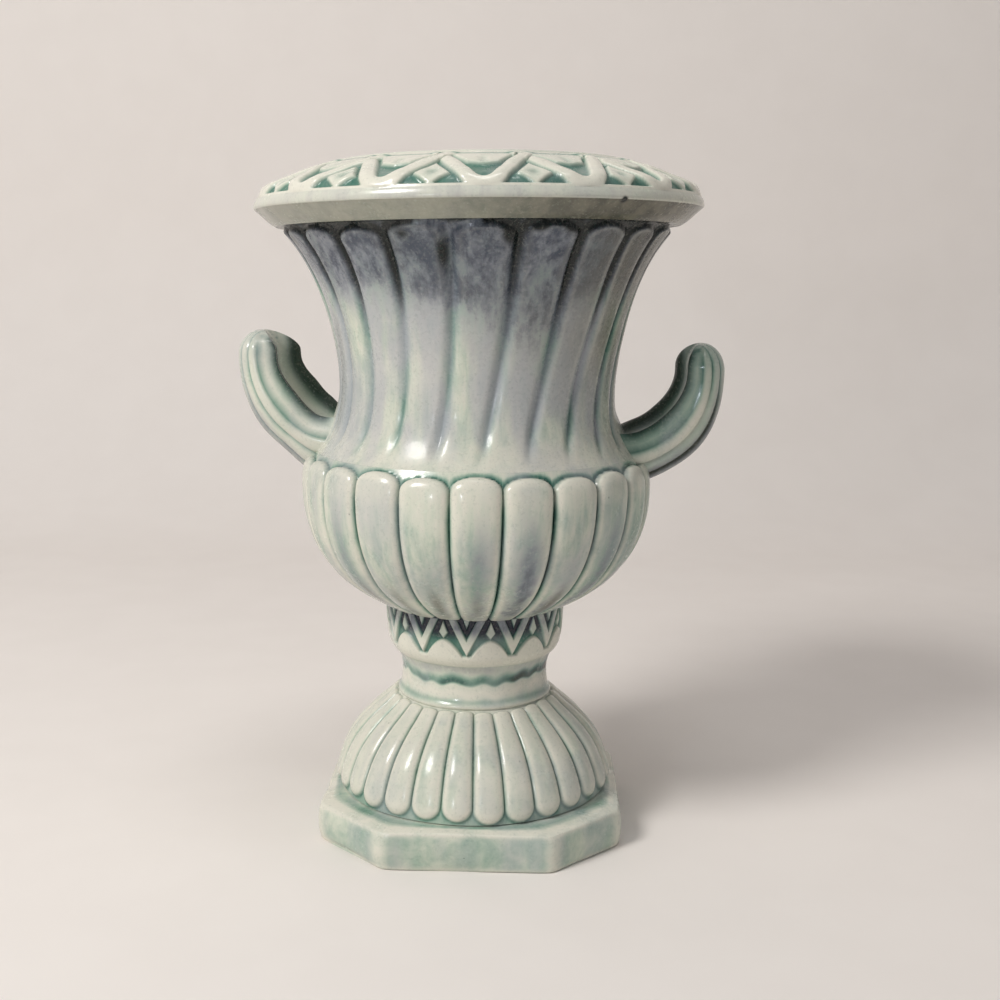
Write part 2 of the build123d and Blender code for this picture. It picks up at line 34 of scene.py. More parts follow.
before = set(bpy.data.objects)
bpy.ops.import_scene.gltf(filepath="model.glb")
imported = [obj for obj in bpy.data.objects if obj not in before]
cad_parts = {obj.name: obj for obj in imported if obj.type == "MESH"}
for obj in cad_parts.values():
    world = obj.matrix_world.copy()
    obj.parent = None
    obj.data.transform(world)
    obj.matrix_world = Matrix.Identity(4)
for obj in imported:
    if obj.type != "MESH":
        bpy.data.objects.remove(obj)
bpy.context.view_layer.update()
mm = 0.001
fullTurn = 2 * math.pi
deg = math.pi / 180


def level(node):
    # Height of a node's lowest point, in millimetres
    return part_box(node)[0].z / mm


def clearSelection():
    bpy.ops.object.select_all(action="DESELECT")


def camelName(words):
    first, *rest = words.split("_")
    return first + "".join(word.capitalize() for word in rest)


# Small shaping functions that the carving shares. A turn is an angle round the axis from the
# front, and along is the distance up a piece's carved face

rippleRounds = 9           # a ripple goes round fewer times than this
rippleRise = 0.16          # and slants at most this much, in radians a millimetre


def soft(value, low, high):
    # 0 below low, 1 above high, and a smooth rise between
    share = np.clip((value - low) / (high - low), 0, 1)
    return share * share * (3 - 2 * share)


def bell(value, centre, width):
    return np.exp(-((value - centre) / width) ** 2)


def mixed(low, high, share):
    return low + (high - low) * share


def wrapped(turn):
    # A turn brought into half a circle either way of zero
    return (turn + math.pi) % fullTurn - math.pi


def patches(turn, height, spots):
    # Soft-edged patches of glaze: turn, height, half width in degrees, half height and strength
    total = np.zeros(len(turn))
    for spotTurn, spotHeight, halfWidth, halfHeight, strength in spots:
        away = wrapped(turn - spotTurn * deg) / (halfWidth * deg)
        up = (height - spotHeight) / halfHeight
        total = total + strength / (1 + away ** 2 + up ** 2) ** 2
    return total


def ripple(turn, height, seed, waves=7):
    # Smooth seeded waviness between about -1 and 1, closed round the vase
    rng = np.random.default_rng(seed)
    total = np.zeros_like(turn)
    for _ in range(waves):
        rounds = rng.integers(1, rippleRounds)
        rise = rng.uniform(-rippleRise, rippleRise)
        total = total + np.sin(rounds * turn + rise * height + rng.uniform(0, fullTurn))
    return total / math.sqrt(waves * 2)


def crowd(turn, count, start, pull):
    # Draws the vertical edges of each repeat towards its two ends, where the shape is sharpest
    pitch = fullTurn / count
    share = ((turn - start) / pitch + 0.5) % 1 - 0.5
    moved = share + pull * np.sin(fullTurn * share) / fullTurn
    return turn + (moved - share) * pitch


def repeatOf(turn, count, start=0.0):
    # Which repeat a point is in, and how far across it from -1 to 1
    pitch = fullTurn / count
    place = (turn - start) / pitch
    number = np.round(place).astype(int)
    return number % count, (place - number) * 2


# Section lines and spinning

finePerKnot = 40           # how finely a smooth line is followed before it is divided
sameSpot = 0.001           # millimetres
weldLine = 0.01 * mm
weldMesh = 0.004 * mm
smoothAngle = 38 * deg
chunkSize = 20000          # points that are compared with the section at a time


def lineRun(line):
    # The distance run at each point of a line
    return np.concatenate([[0], np.cumsum(np.hypot(*np.diff(line, axis=0).T))])


def curveThrough(points, step):
    # A smooth line through a few points, divided evenly
    knots = np.array(points, float)
    at = lineRun(knots)
    gaps = np.diff(at)
    if len(knots) > 2:
        slopes = np.gradient(knots, at, axis=0, edge_order=2)
    else:
        slopes = np.repeat((knots[1:] - knots[:1]) / gaps[0], 2, axis=0)
    fine = np.linspace(0, at[-1], finePerKnot * len(knots))
    left = np.clip(np.searchsorted(at, fine, side="right") - 1, 0, len(gaps) - 1)
    gap = gaps[left][:, None]
    t = (fine[:, None] - at[left][:, None]) / gap
    line = (2 * t ** 3 - 3 * t ** 2 + 1) * knots[left] + (3 * t ** 2 - 2 * t ** 3) * knots[left + 1]
    line = line + gap * ((t ** 3 - 2 * t ** 2 + t) * slopes[left] + (t ** 3 - t ** 2) * slopes[left + 1])
    run = lineRun(line)
    even = np.linspace(0, run[-1], max(2, round(run[-1] / step) + 1))
    return np.column_stack([np.interp(even, run, line[:, 0]), np.interp(even, run, line[:, 1])])


def sectionRows(section, base):
    # The whole section: radius, height, distance along the carved face (or -1) and outward normal.
    # Each stretch has its finish, its step and the points it goes to from the end of the last one
    radius, height, along = [], [], []
    carved = 0.0
    last = []
    for finish, step, points in section:
        line = curveThrough(last + points, step)
        last = points[-1:]
        run = lineRun(line)
        skip = 1 if radius else 0
        radius += list(line[skip:, 0])
        height += list(line[skip:, 1] + base)
        if finish == "carved":
            along += list(run[skip:] + carved)
            carved += run[-1]
        else:
            along += [-1.0] * (len(line) - skip)
    radius, height, along = np.array(radius), np.array(height), np.array(along)
    closed = abs(radius[0] - radius[-1]) < sameSpot and abs(height[0] - height[-1]) < sameSpot
    if closed:
        radius, height, along = radius[:-1], height[:-1], along[:-1]
        outR = (np.roll(height, -1) - np.roll(height, 1))
        outZ = -(np.roll(radius, -1) - np.roll(radius, 1))
    else:
        outR, outZ = np.gradient(height), -np.gradient(radius)
    size = np.hypot(outR, outZ)
    return {
        "radius": radius, "height": height, "along": along,
        "outR": outR / size, "outZ": outZ / size, "closed": closed,
    }


def drawLine(name, line):
    # A new mesh of one point, extruded from point to point of a line and left in edit mode
    clearSelection()
    bpy.ops.mesh.primitive_plane_add(size=mm, location=(0, 0, 0))
    piece = bpy.context.object
    piece.name = piece.data.name = name
    bpy.ops.object.mode_set(mode="EDIT")
    bpy.ops.mesh.select_mode(type="VERT")
    bpy.ops.mesh.select_all(action="SELECT")
    bpy.ops.mesh.merge(type="CENTER")
    bpy.ops.transform.translate(value=line[0])
    for before, after in zip(line, line[1:]):
        bpy.ops.mesh.extrude_region_move(TRANSFORM_OT_translate={"value": after - before})
    bpy.ops.mesh.select_all(action="SELECT")
    bpy.ops.mesh.remove_doubles(threshold=weldLine)
    return piece


def closeMesh():
    # Welds the mesh in edit mode, turns its faces outwards and goes back to object mode
    bpy.ops.mesh.select_mode(type="VERT")
    bpy.ops.mesh.select_all(action="SELECT")
    bpy.ops.mesh.remove_doubles(threshold=weldMesh)
    bpy.ops.mesh.normals_make_consistent(inside=False)
    bpy.ops.object.mode_set(mode="OBJECT")


def throwPiece(sizes):
    # Spins a piece's section round the axis; gives the mesh, its rows and the carved face's length
    rows = sectionRows(sizes["section"], level(sizes["node"]))
    line = [Vector((r * mm, 0, z * mm)) for r, z in zip(rows["radius"], rows["height"])]
    if rows["closed"]:
        line.append(line[0])
    piece = drawLine(camelName(sizes["node"]), line)
    bpy.ops.object.mode_set(mode="OBJECT")
    spin = piece.modifiers.new("spin", "SCREW")
    spin.angle = fullTurn
    spin.steps = spin.render_steps = sizes["steps"]
    spin.use_merge_vertices = True
    spin.merge_threshold = weldMesh
    bpy.ops.object.modifier_apply(modifier="spin")
    bpy.ops.object.mode_set(mode="EDIT")
    closeMesh()
    return piece, rows, rows["along"].max()


def readPoints(piece):
    flat = np.empty(len(piece.data.vertices) * 3)
    piece.data.vertices.foreach_get("co", flat)
    return flat.reshape(-1, 3) / mm


def writePoints(piece, points):
    piece.data.vertices.foreach_set("co", (points * mm).ravel())
    piece.data.update()


def paint(piece, shape):
    # pool is how deep the glaze lies, ridge where it thins on an arris, cloud where it curdled grey, ink
    # where it ran dark, and the brown channel where the body's own brown shows through, and painted shade in
    # brown-grey under the rim's lip and on the neck's right side. The pieces also paint shade into pool,
    # cloud and ink on their right-hand sides, and a painted highlight into ridge on one handle
    flat = np.zeros(len(piece.data.vertices))
    columns = [np.broadcast_to(shape.get(key, flat), flat.shape) for key in ("pool", "ridge", "cloud", "ink")]
    layer = piece.data.color_attributes.new("glaze", "FLOAT_COLOR", "POINT")
    layer.data.foreach_set("color", np.clip(np.column_stack(columns), 0, 1).astype(np.float32).ravel())
    earth = piece.data.attributes.new("earth", "FLOAT", "POINT")
    brown = np.broadcast_to(shape.get("earth", flat), flat.shape)
    earth.data.foreach_set("value", np.clip(brown, 0, 1).astype(np.float32))


handMade = {
    "rimLean": 0.0202,     # the right side of the mouth stands higher
    "leanBetween": (128.0, 190.0),
    "wobble": 0.22,        # how far the walls wander from round
    "wobbleBetween": (1.0, 14.0),
    "wobbleSeed": 4,
    "leastReach": 20,
}


def handWarp(points):
    # The small lean and wander of a piece made by hand, the same for all the sections
    turn = np.arctan2(points[:, 0], -points[:, 1])
    height = points[:, 2]
    reach = np.hypot(points[:, 0], points[:, 1])
    free = soft(height, *handMade["wobbleBetween"])
    grow = handMade["wobble"] * ripple(turn, height, handMade["wobbleSeed"], 5) * free
    scale = 1 + grow / np.maximum(reach, handMade["leastReach"])
    lean = handMade["rimLean"] * points[:, 0] * soft(height, *handMade["leanBetween"])
    return np.column_stack([points[:, 0] * scale, points[:, 1] * scale, height + lean])


def carve(piece, rows, relief, gather=None, lean=None):
    # Moves each point of the spun wall along its section's normal by the relief there.
    # gather crowds the mesh on the repeats' edges, and lean turns the repeats as they rise
    points = readPoints(piece)
    radius = np.hypot(points[:, 0], points[:, 1])
    turn = np.arctan2(points[:, 0], -points[:, 1])
    if gather:
        turn = crowd(turn, *gather)
    nearest = np.empty(len(points), int)
    for chunk in np.array_split(np.arange(len(points)), len(points) // chunkSize + 1):
        away = (radius[chunk, None] - rows["radius"]) ** 2 + (points[chunk, 2, None] - rows["height"]) ** 2
        nearest[chunk] = away.argmin(axis=1)
    along = rows["along"][nearest]
    shape = relief(turn, along, radius, points[:, 2])
    rise = np.where(along >= 0, shape["rise"], 0)
    radius = radius + rows["outR"][nearest] * rise
    height = points[:, 2] + rows["outZ"][nearest] * rise
    if "outline" in shape:
        radius = radius * shape["outline"]
    if lean:
        turn = turn + lean(turn, points[:, 2])
    writePoints(piece, handWarp(np.column_stack([radius * np.sin(turn), -radius * np.cos(turn), height])))
    paint(piece, shape)


def finishPiece(piece, sizes, material=None):
    clearSelection()
    piece.select_set(True)
    bpy.context.view_layer.objects.active = piece
    bpy.ops.object.shade_smooth_by_angle(angle=smoothAngle)
    piece.data.materials.clear()
    piece.data.materials.append(material or seaGlaze(camelName(sizes["glaze"]), sizes["look"]))
    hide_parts(sizes["node"])
    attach(piece, "root")
    print(sizes["node"], "made,", len(piece.data.polygons), "faces")


# Glaze

def tone(red, green, blue):
    # A colour as a painter reads it off a chart, turned into the shader's linear light
    shares = [value / 255 for value in (red, green, blue)]
    linear = [s / 12.92 if s <= 0.04045 else ((s + 0.055) / 1.055) ** 2.4 for s in shares]
    return (*linear, 1.0)


glazeTones = {
    "cream": tone(226, 223, 209),
    "milk": tone(207, 213, 196),
    "paleGreen": tone(170, 189, 172),
    "seaGreen": tone(120, 155, 138),
    "teal": tone(62, 110, 97),
    "deep": tone(24, 56, 50),
    "ink": tone(5, 14, 15),
    "lilac": tone(176, 176, 184),
    "cloudGrey": tone(132, 137, 148),
    "slate": tone(66, 74, 90),
    "brownGrey": tone(106, 102, 86),
    "darkBrown": tone(62, 59, 46),
    "olive": tone(30, 38, 26),
    "navy": tone(14, 20, 42),
}

# The glaze's colour from where it is thinnest to where it is deepest
depthTones = [
    (0.0, "cream"), (0.2, "milk"), (0.36, "paleGreen"), (0.56, "seaGreen"), (0.78, "teal"), (1.0, "deep"),
]

# From what to what each effect sets in, and how weak and strong it is there
glazeBands = {
    "lilac": (0.86, 1.16),
    "unevenCloud": (0.66, 1.3, 1.3, 0.5),
    "cloudGrey": (0.0, 0.75, 0.0, 0.8),
    "slate": (0.3, 1.25, 0.0, 0.95),
    "darkBrown": (0.8, 1.25),
    "earth": (0.05, 0.9, 0.0, 0.95),
    "thin": (0.85, 1.3, 1.0, 0.5),
    "ink": (0.1, 0.9),
    "lightGrain": (0.5, 0.76, 0.0, 0.12),
    "darkGrain": (0.48, 0.26, 0.0, 0.14),
    "pinPatches": (0.6, 0.7),
    "rough": (0.7, 1.3),
}

# Widths are of a blotch, in millimetres, and sways are how much each noise changes the depth
commonLook = {
    "broad": 42.0, "middle": 9.0, "fine": 1.8, "grain": 0.9,
    "runWidth": 4.2, "runStretch": 0.14, "tintWidth": 9.0,
    "broadSway": 0.34, "middleSway": 0.3, "runSway": 0.22, "fineSway": 0.14,
    "poolPull": 0.66, "base": 0.22, "lilacShare": 0.4, "darkTone": "ink", "gloss": 0.15, "dull": 0.14,
    "pinSpacing": 3.1, "pinSize": 0.11, "pinPatch": 14.0, "pinStrength": 0.4,
    "skinWidth": 5.5, "skinRise": 0.8, "grainRise": 0.18, "bump": 0.3, "bumpDepth": 0.3,
    "ior": 1.42, "coat": 0.12, "coatRough": 0.07,
}


class Glaze:
    # Builds the node tree of one glaze; each helper adds a node and gives back its output

    def __init__(self, name):
        self.material = bpy.data.materials.new(name)
        self.material.use_nodes = True
        self.nodes = self.material.node_tree.nodes
        self.links = self.material.node_tree.links
        self.shader = self.nodes["Principled BSDF"]
        self.coords = self.nodes.new("ShaderNodeTexCoord").outputs["Object"]

    def plug(self, value, socket):
        if isinstance(value, (int, float, tuple)):
            socket.default_value = value
        else:
            self.links.new(value, socket)

    def stretched(self, scale):
        node = self.nodes.new("ShaderNodeMapping")
        node.inputs["Scale"].default_value = scale
        self.links.new(self.coords, node.inputs["Vector"])
        return node.outputs["Vector"]

    def noise(self, size, detail=3.0, rough=0.5, vector=None, distort=0.0):
        # size is the width of a blotch in millimetres
        node = self.nodes.new("ShaderNodeTexNoise")
        node.inputs["Scale"].default_value = 1 / (size * mm)
        node.inputs["Detail"].default_value = detail
        node.inputs["Roughness"].default_value = rough
        node.inputs["Distortion"].default_value = distort
        self.links.new(vector or self.coords, node.inputs["Vector"])
        return node.outputs["Fac"]

    def specks(self, spacing, share):
        # Round specks: 1 inside a speck, 0 outside
        node = self.nodes.new("ShaderNodeTexVoronoi")
        node.inputs["Scale"].default_value = 1 / (spacing * mm)
        self.links.new(self.coords, node.inputs["Vector"])
        return self.remap(node.outputs["Distance"], share, share * 0.5)

    def math(self, kind, first, second):
        node = self.nodes.new("ShaderNodeMath")
        node.operation = kind
        self.plug(first, node.inputs[0])
        self.plug(second, node.inputs[1])
        return node.outputs[0]

    def times(self, first, second):
        return self.math("MULTIPLY", first, second)

    def plus(self, first, second):
        return self.math("ADD", first, second)

    def remap(self, value, low, high, newLow=0.0, newHigh=1.0):
        node = self.nodes.new("ShaderNodeMapRange")
        node.interpolation_type = "SMOOTHSTEP"
        self.plug(value, node.inputs["Value"])
        node.inputs["From Min"].default_value = low
        node.inputs["From Max"].default_value = high
        node.inputs["To Min"].default_value = newLow
        node.inputs["To Max"].default_value = newHigh
        return node.outputs["Result"]

    def band(self, value, key):
        return self.remap(value, *glazeBands[key])

    def ramp(self, value, stops):
        node = self.nodes.new("ShaderNodeValToRGB")
        element = node.color_ramp.elements
        element[0].position, element[0].color = stops[0]
        element[1].position, element[1].color = stops[-1]
        for place, colour in stops[1:-1]:
            element.new(place).color = colour
        self.plug(value, node.inputs["Fac"])
        return node.outputs["Color"]

    def mix(self, share, first, second):
        node = self.nodes.new("ShaderNodeMix")
        node.data_type = "RGBA"
        self.plug(share, node.inputs["Factor"])
        self.plug(first, node.inputs["A"])
        self.plug(second, node.inputs["B"])
        return node.outputs["Result"]

    def painted(self):
        attribute = self.nodes.new("ShaderNodeAttribute")
        attribute.attribute_name = "glaze"
        split = self.nodes.new("ShaderNodeSeparateColor")
        self.links.new(attribute.outputs["Color"], split.inputs["Color"])
        earth = self.nodes.new("ShaderNodeAttribute")
        earth.attribute_name = "earth"
        colours = [split.outputs[key] for key in ("Red", "Green", "Blue")]
        return colours + [attribute.outputs["Alpha"], earth.outputs["Fac"]]


def seaGlaze(name, changes):
    # Cream where it thins over an arris, sea-green where it pools, clouded grey where it ran thick
    look = dict(commonLook, **changes)
    glaze = Glaze(name)
    pool, ridge, cloud, ink, earth = glaze.painted()
    broad = glaze.noise(look["broad"], 3.0, 0.55)
    middle = glaze.noise(look["middle"], 4.0, 0.6, distort=0.4)
    fine = glaze.noise(look["fine"], 3.0, 0.7)
    upright = glaze.stretched((1, 1, look["runStretch"]))
    runs = glaze.noise(look["runWidth"], 4.0, 0.6, upright, 0.3)
    tints = glaze.noise(look["tintWidth"], 2.0, 0.5, upright, 0.2)
    middleRuns = glaze.plus(middle, runs)

    wander = 0.0
    for noise, sway in ((broad, "broadSway"), (middle, "middleSway"), (runs, "runSway"), (fine, "fineSway")):
        wander = glaze.plus(wander, glaze.times(glaze.math("SUBTRACT", noise, 0.5), look[sway]))
    depth = glaze.plus(glaze.plus(glaze.times(pool, look["poolPull"]), look["base"]), wander)
    colour = glaze.ramp(depth, [(place, glazeTones[key]) for place, key in depthTones])
    # Lilac-grey where the glaze curdled, more on the thick places
    tinted = glaze.remap(glaze.plus(tints, broad), *glazeBands["lilac"], 0.0, look["lilacShare"])
    colour = glaze.mix(tinted, colour, glazeTones["lilac"])

    clouded = glaze.times(cloud, glaze.band(middleRuns, "unevenCloud"))
    for key in ("cloudGrey", "slate"):
        colour = glaze.mix(glaze.band(clouded, key), colour, glazeTones[key])
    # Brown-grey: the body's own brown, and painted shade under the rim's lip and on the neck's right side
    brown = glaze.mix(glaze.band(middleRuns, "darkBrown"), glazeTones["brownGrey"], glazeTones["darkBrown"])
    colour = glaze.mix(glaze.band(earth, "earth"), colour, brown)

    thin = glaze.times(ridge, glaze.band(glaze.plus(middle, broad), "thin"))
    colour = glaze.mix(thin, colour, glazeTones["cream"])
    colour = glaze.mix(glaze.band(ink, "ink"), colour, glazeTones[look["darkTone"]])

    # The curdled grain of the glaze, and a few pin specks
    grain = glaze.noise(look["grain"], 2.0, 0.6)
    colour = glaze.mix(glaze.band(grain, "lightGrain"), colour, glazeTones["milk"])
    colour = glaze.mix(glaze.band(grain, "darkGrain"), colour, glazeTones["teal"])
    sparse = glaze.band(glaze.noise(look["pinPatch"], 2.0), "pinPatches")
    pins = glaze.times(glaze.specks(look["pinSpacing"], look["pinSize"]), sparse)
    colour = glaze.mix(glaze.times(pins, look["pinStrength"]), colour, glazeTones["deep"])
    glaze.links.new(colour, glaze.shader.inputs["Base Color"])

    gloss = look["gloss"]
    rough = glaze.remap(glaze.plus(middle, fine), *glazeBands["rough"], gloss, gloss + look["dull"])
    glaze.links.new(rough, glaze.shader.inputs["Roughness"])
    glaze.shader.inputs["IOR"].default_value = look["ior"]
    glaze.shader.inputs["Coat Weight"].default_value = look["coat"]
    glaze.shader.inputs["Coat Roughness"].default_value = look["coatRough"]

    skin = glaze.times(glaze.noise(look["skinWidth"], 2.0), look["skinRise"])
    bump = glaze.nodes.new("ShaderNodeBump")
    bump.inputs["Strength"].default_value = look["bump"]
    bump.inputs["Distance"].default_value = look["bumpDepth"] * mm
    glaze.links.new(glaze.plus(skin, glaze.times(grain, look["grainRise"])), bump.inputs["Height"])
    glaze.links.new(bump.outputs["Normal"], glaze.shader.inputs["Normal"])
    return glaze.material


# In each relief, pairs named as a line are a centre and a half width, for bell, and pairs named
# as a fade are where it starts and where it is full, for soft

# Gadrooned bowl

bowl = {
    "node": "gadrooned_bowl",
    "glaze": "bowl_glaze",
    "look": {"base": 0.14, "runWidth": 2.4, "runStretch": 0.18, "runSway": 0.56},
    "steps": 528,
    "count": 22,
    "seed": 11,
    "section": [
        ("plain", 4.0, [(0.0, 0.0), (27.4, 0.0)]),
        ("carved", 0.5, [
            (33.3, 3.3), (38.1, 6.9), (41.7, 10.3), (46.5, 17.0), (49.6, 23.8), (51.1, 30.0),
            (51.6, 35.4), (51.6, 39.5), (51.1, 42.4), (50.2, 44.6), (49.0, 46.9),
        ]),
        ("plain", 2.0, [(43.6, 46.9)]),
        ("plain", 4.0, [(44.6, 40.8), (47.0, 35.6), (44.6, 25.0), (38.5, 15.0), (30.0, 8.6), (20.0, 7.0)]),
        ("plain", 5.0, [(0.0, 7.0)]),
    ],
    "crowding": 0.6,
    "lobeRise": 2.25,
    "lobeRiseLow": 0.75,
    "lobeGrow": 30.0,      # how far up the face the lobes reach their full rise
    "spring": 5.9,         # how far the arches spring below the top of the face
    "archHeight": 4.4,
    "archPower": 2.25,     # 2 is a half ellipse, more is flatter with rounder corners
    "squareness": 3.6,
    "roundness": 0.55,
    "topFade": 1.2,
    "topOver": 0.2,
    "cutDepth": 0.2,       # the fine cut between two lobes
    "cutLine": (0.0, 0.5),
    "valleyLine": (0.0, 0.45),
    "hazeLine": (0.0, 1.5),
    "archLine": (-0.9, 1.2),
    "arrisLine": (1.5, 0.7),
    "creamTop": (12.0, 6.5),       # below the top of the face
    "inkTop": (5, 12),
    "lowCloud": (8.0, 9.0),
    # painted shade: grey over the right-hand lobes, its height and half height
    "rightShadeCloud": (16.0, 14.0),
    "bottomInk": (0.0, 0.9),
    "earthLine": (13.0, 10.0),
    "heartAcross": (0.08, 0.5),    # the stain in the middle of a lobe, from -1 to 1 across it
    "heartShares": (0.5, 0.3),     # and its place and half height, in shares of the face
    "sideAcross": (-0.62, 0.22),
    "sideShares": (0.45, 0.3),
}


def makeBowl():
    piece, rows, top = throwPiece(bowl)
    count = bowl["count"]
    rng = np.random.default_rng(bowl["seed"])
    swell = rng.normal(1.0, 0.05, count)
    lift = rng.normal(0.0, 0.35, count)
    slip = rng.normal(0.0, 0.018, count)
    stain = rng.uniform(0.25, 1.0, count)

    def relief(turn, along, radius, height):
        lobe, across = repeatOf(turn, count)
        across = across + slip[lobe] * (1 - across ** 2)
        spring = top - bowl["spring"] + lift[lobe]
        above = np.clip((along - spring) / bowl["archHeight"], 0, None)
        power = bowl["archPower"]
        edge = (np.abs(across) ** power + above ** power) ** (1 / power)
        inside = edge < 1
        margin = (1 - edge) * radius * math.pi / count
        full = np.clip(1 - np.clip(edge, 0, 1) ** bowl["squareness"], 0, 1) ** bowl["roundness"]
        rise = mixed(bowl["lobeRiseLow"], bowl["lobeRise"], soft(along, 0.0, bowl["lobeGrow"]))
        rise = rise * full * swell[lobe]
        rise = rise * soft(along, top + bowl["topOver"], top + bowl["topOver"] - bowl["topFade"])
        cut = bowl["cutDepth"] * bell(margin, *bowl["cutLine"])
        rise = rise - cut * soft(along, top, top - bowl["topFade"])

        # Painted shade darkens the right side in the pools, valleys and clouds, and each lobe has its own
        # stain down its middle or its left
        right = soft(np.sin(turn + 0.25), -0.1, 0.9)
        valley = bell(margin, *bowl["valleyLine"])
        archLine = bell(margin, *bowl["archLine"]) * soft(above, 0.05, 0.7)
        heartPlace, heartHeight = bowl["heartShares"]
        heart = bell(across, *bowl["heartAcross"]) * bell(along, top * heartPlace, top * heartHeight)
        sidePlace, sideHeight = bowl["sideShares"]
        side = bell(across, *bowl["sideAcross"]) * bell(along, top * sidePlace, top * sideHeight)
        pool = (0.7 + 0.3 * right) * valley + (0.14 + 0.34 * right) * bell(margin, *bowl["hazeLine"])
        pool = pool + (0.36 + 0.4 * right) * archLine
        pool = pool + 0.5 * heart * stain[lobe] + 0.3 * side * (1 - stain[lobe])
        pool = pool + 0.24 * soft(np.sin(turn), 0.3, 0.95) * inside
        ridge = 0.7 * bell(margin, *bowl["arrisLine"]) + 0.85 * soft(above, 0.1, 0.7) * (edge < 0.92)
        creamFrom, creamFull = bowl["creamTop"]
        ridge = ridge + 0.5 * soft(along, top - creamFrom, top - creamFull) * inside
        cloud = 0.6 * heart * stain[lobe] * soft(np.cos(turn + 0.1), -0.6, 0.9)
        cloud = cloud + 0.34 * bell(along, *bowl["lowCloud"]) * soft(np.cos(turn - 0.1), 0.2, 1.0) * full
        cloud = cloud + 0.3 * right * full * bell(along, *bowl["rightShadeCloud"])
        inkFrom, inkFull = bowl["inkTop"]
        ink = 0.5 * bell(along, *bowl["bottomInk"])
        ink = ink + (0.2 + 0.35 * right) * valley * soft(along, top - inkFrom, top - inkFull)
        earth = 0.65 * bell(across, 0.1, 0.4) * bell(along, *bowl["earthLine"]) * stain[(lobe * 7) % count]
        return dict(rise=rise, pool=pool, ridge=ridge, cloud=cloud, ink=ink, earth=earth)

    carve(piece, rows, relief, (count, 0.0, bowl["crowding"]))
    finishPiece(piece, bowl)


# Fluted neck

neck = {
    "node": "fluted_neck",
    "glaze": "neck_glaze",
    "look": {
        "base": 0.22, "runWidth": 2.2, "runStretch": 0.14, "runSway": 0.6, "middle": 7.0,
        "lilacShare": 0.75, "gloss": 0.21,
    },
    "steps": 528,
    "count": 22,
    "seed": 23,
    "outside": [
        (49.2, 5.6), (47.9, 7.2), (46.2, 9.8), (44.2, 14.0), (42.95, 18.6), (42.35, 24.5), (42.75, 33.0),
        (44.4, 42.3), (47.1, 52.0), (50.6, 60.6), (54.2, 66.9), (57.6, 71.3), (60.2, 73.7), (62.4, 75.2),
    ],
    "seat": (48.4, 1.0),
    "wall": 5.39,
    "flareFrom": 60,       # above this the inside stands higher than the outside, by flareLift
    "flareLift": 1.2,
    "lipInside": (58.9, 75.2),
    "throat": [(43.6, 4.8), (43.5, 1.0)],
    "crowding": -0.55,
    "grooveDepth": 0.7,
    "grooveDepthTop": 1.35,
    "grooveWidth": 1.9,
    "grooveWidthLow": 2.6,
    "crown": 0.42,
    "archBelow": 8.6,      # the panels' arches, measured down from the top of the face
    "archHeight": 4.6,
    "driftLength": 17,
    "bottomFade": (1.0, 13.0),
    "highFade": (30.0, 66.0),
    "bandBelow": (4.2, 1.6),       # the smooth band under the lip, below the top of the face
    "lipShadeBelow": (5.5, 2.0),
    # The swelling under each handle's root: height, half width, half height and rise
    "mound": (10.0, 9.5, 9.0, 1.0),
    "lineWidths": (0.85, 0.85),    # of the dark line in a groove, low down, and what is added high up
    "hazeLine": (0.0, 2.2),
    "arrisLine": (2.6, 0.7),
    "archLine": (0.4, 1.5),
    "archReach": (0.0, 3.4),
    "darkFade": (150.0, 172.0),    # heights on the vase from here on
    "greenFade": (150.0, 180.0),
    "rightFade": (118.0, 150.0),
    "shadeFade": (160.0, 181.0),
    "creamFade": (15.0, 3.0),      # and distances along the face
    "oliveShadeFade": (8.0, 40.0),
    # How far the flutes lean round as they rise, in degrees, and how that varies round the neck
    "lean": 9.3,
    "leanVary": 5.0,
    "leanPhase": 20,
    "leanFrom": 4.0,
    "leanRun": 54.0,
    "topShade": 0.8,
    # Darkness of the grooves in front, counted from the middle one rightwards: high up and low down
    "grooveDark": {
        -4: (1.0, 0.5), -3: (0.95, 0.5), -2: (0.95, 0.52), -1: (0.25, 0.55), 0: (0.8, 0.6),
        1: (1.1, 0.72), 2: (1.15, 0.8), 3: (1.25, 1.0), 4: (1.25, 1.05), 5: (1.1, 0.95),
    },
    "clouds": [
        # turn, height, half width in degrees, half height and strength
        (-10, 178, 22, 15, 1.0), (6, 173, 17, 17, 0.9), (17, 166, 11, 18, 0.7), (27, 160, 9, 16, 0.55),
        (-53, 178, 16, 13, 0.8), (-32, 182, 16, 10, 0.75), (40, 178, 19, 14, 0.6), (3, 184, 40, 4.0, 0.5),
        (62, 172, 14, 12, 0.4), (118, 180, 22, 10, 0.7), (166, 182, 20, 11, 0.9),
        (-150, 176, 17, 12, 0.6), (-104, 181, 17, 8, 0.6), (150, 158, 14, 10, 0.35),
    ],
    # Where the glaze gathered nearly black under the arches
    "pits": [
        (-43, 184.5, 3.2, 1.5, 0.8), (-21, 182.5, 2.6, 2.0, 0.8), (-10.5, 177.5, 2.6, 6.0, 1.0),
        (-5, 185.5, 4.5, 1.0, 0.6), (8, 182.0, 2.6, 3.0, 1.0), (16.5, 184.0, 2.8, 1.7, 0.95),
        (25, 184.0, 2.6, 2.2, 0.9), (44, 184.5, 3.0, 1.8, 0.9), (58, 182, 3.0, 3.0, 0.7),
        (-70, 182, 3.5, 3.0, 0.7), (92, 182, 3.0, 3.0, 0.7), (130, 183, 4.0, 2.0, 0.8),
        (171, 182, 3.0, 4.0, 0.9), (-165, 183, 4.0, 1.6, 0.8), (-135, 181, 3.0, 4.0, 0.8),
        (-108, 183, 4.0, 1.8, 0.7),
    ],
}


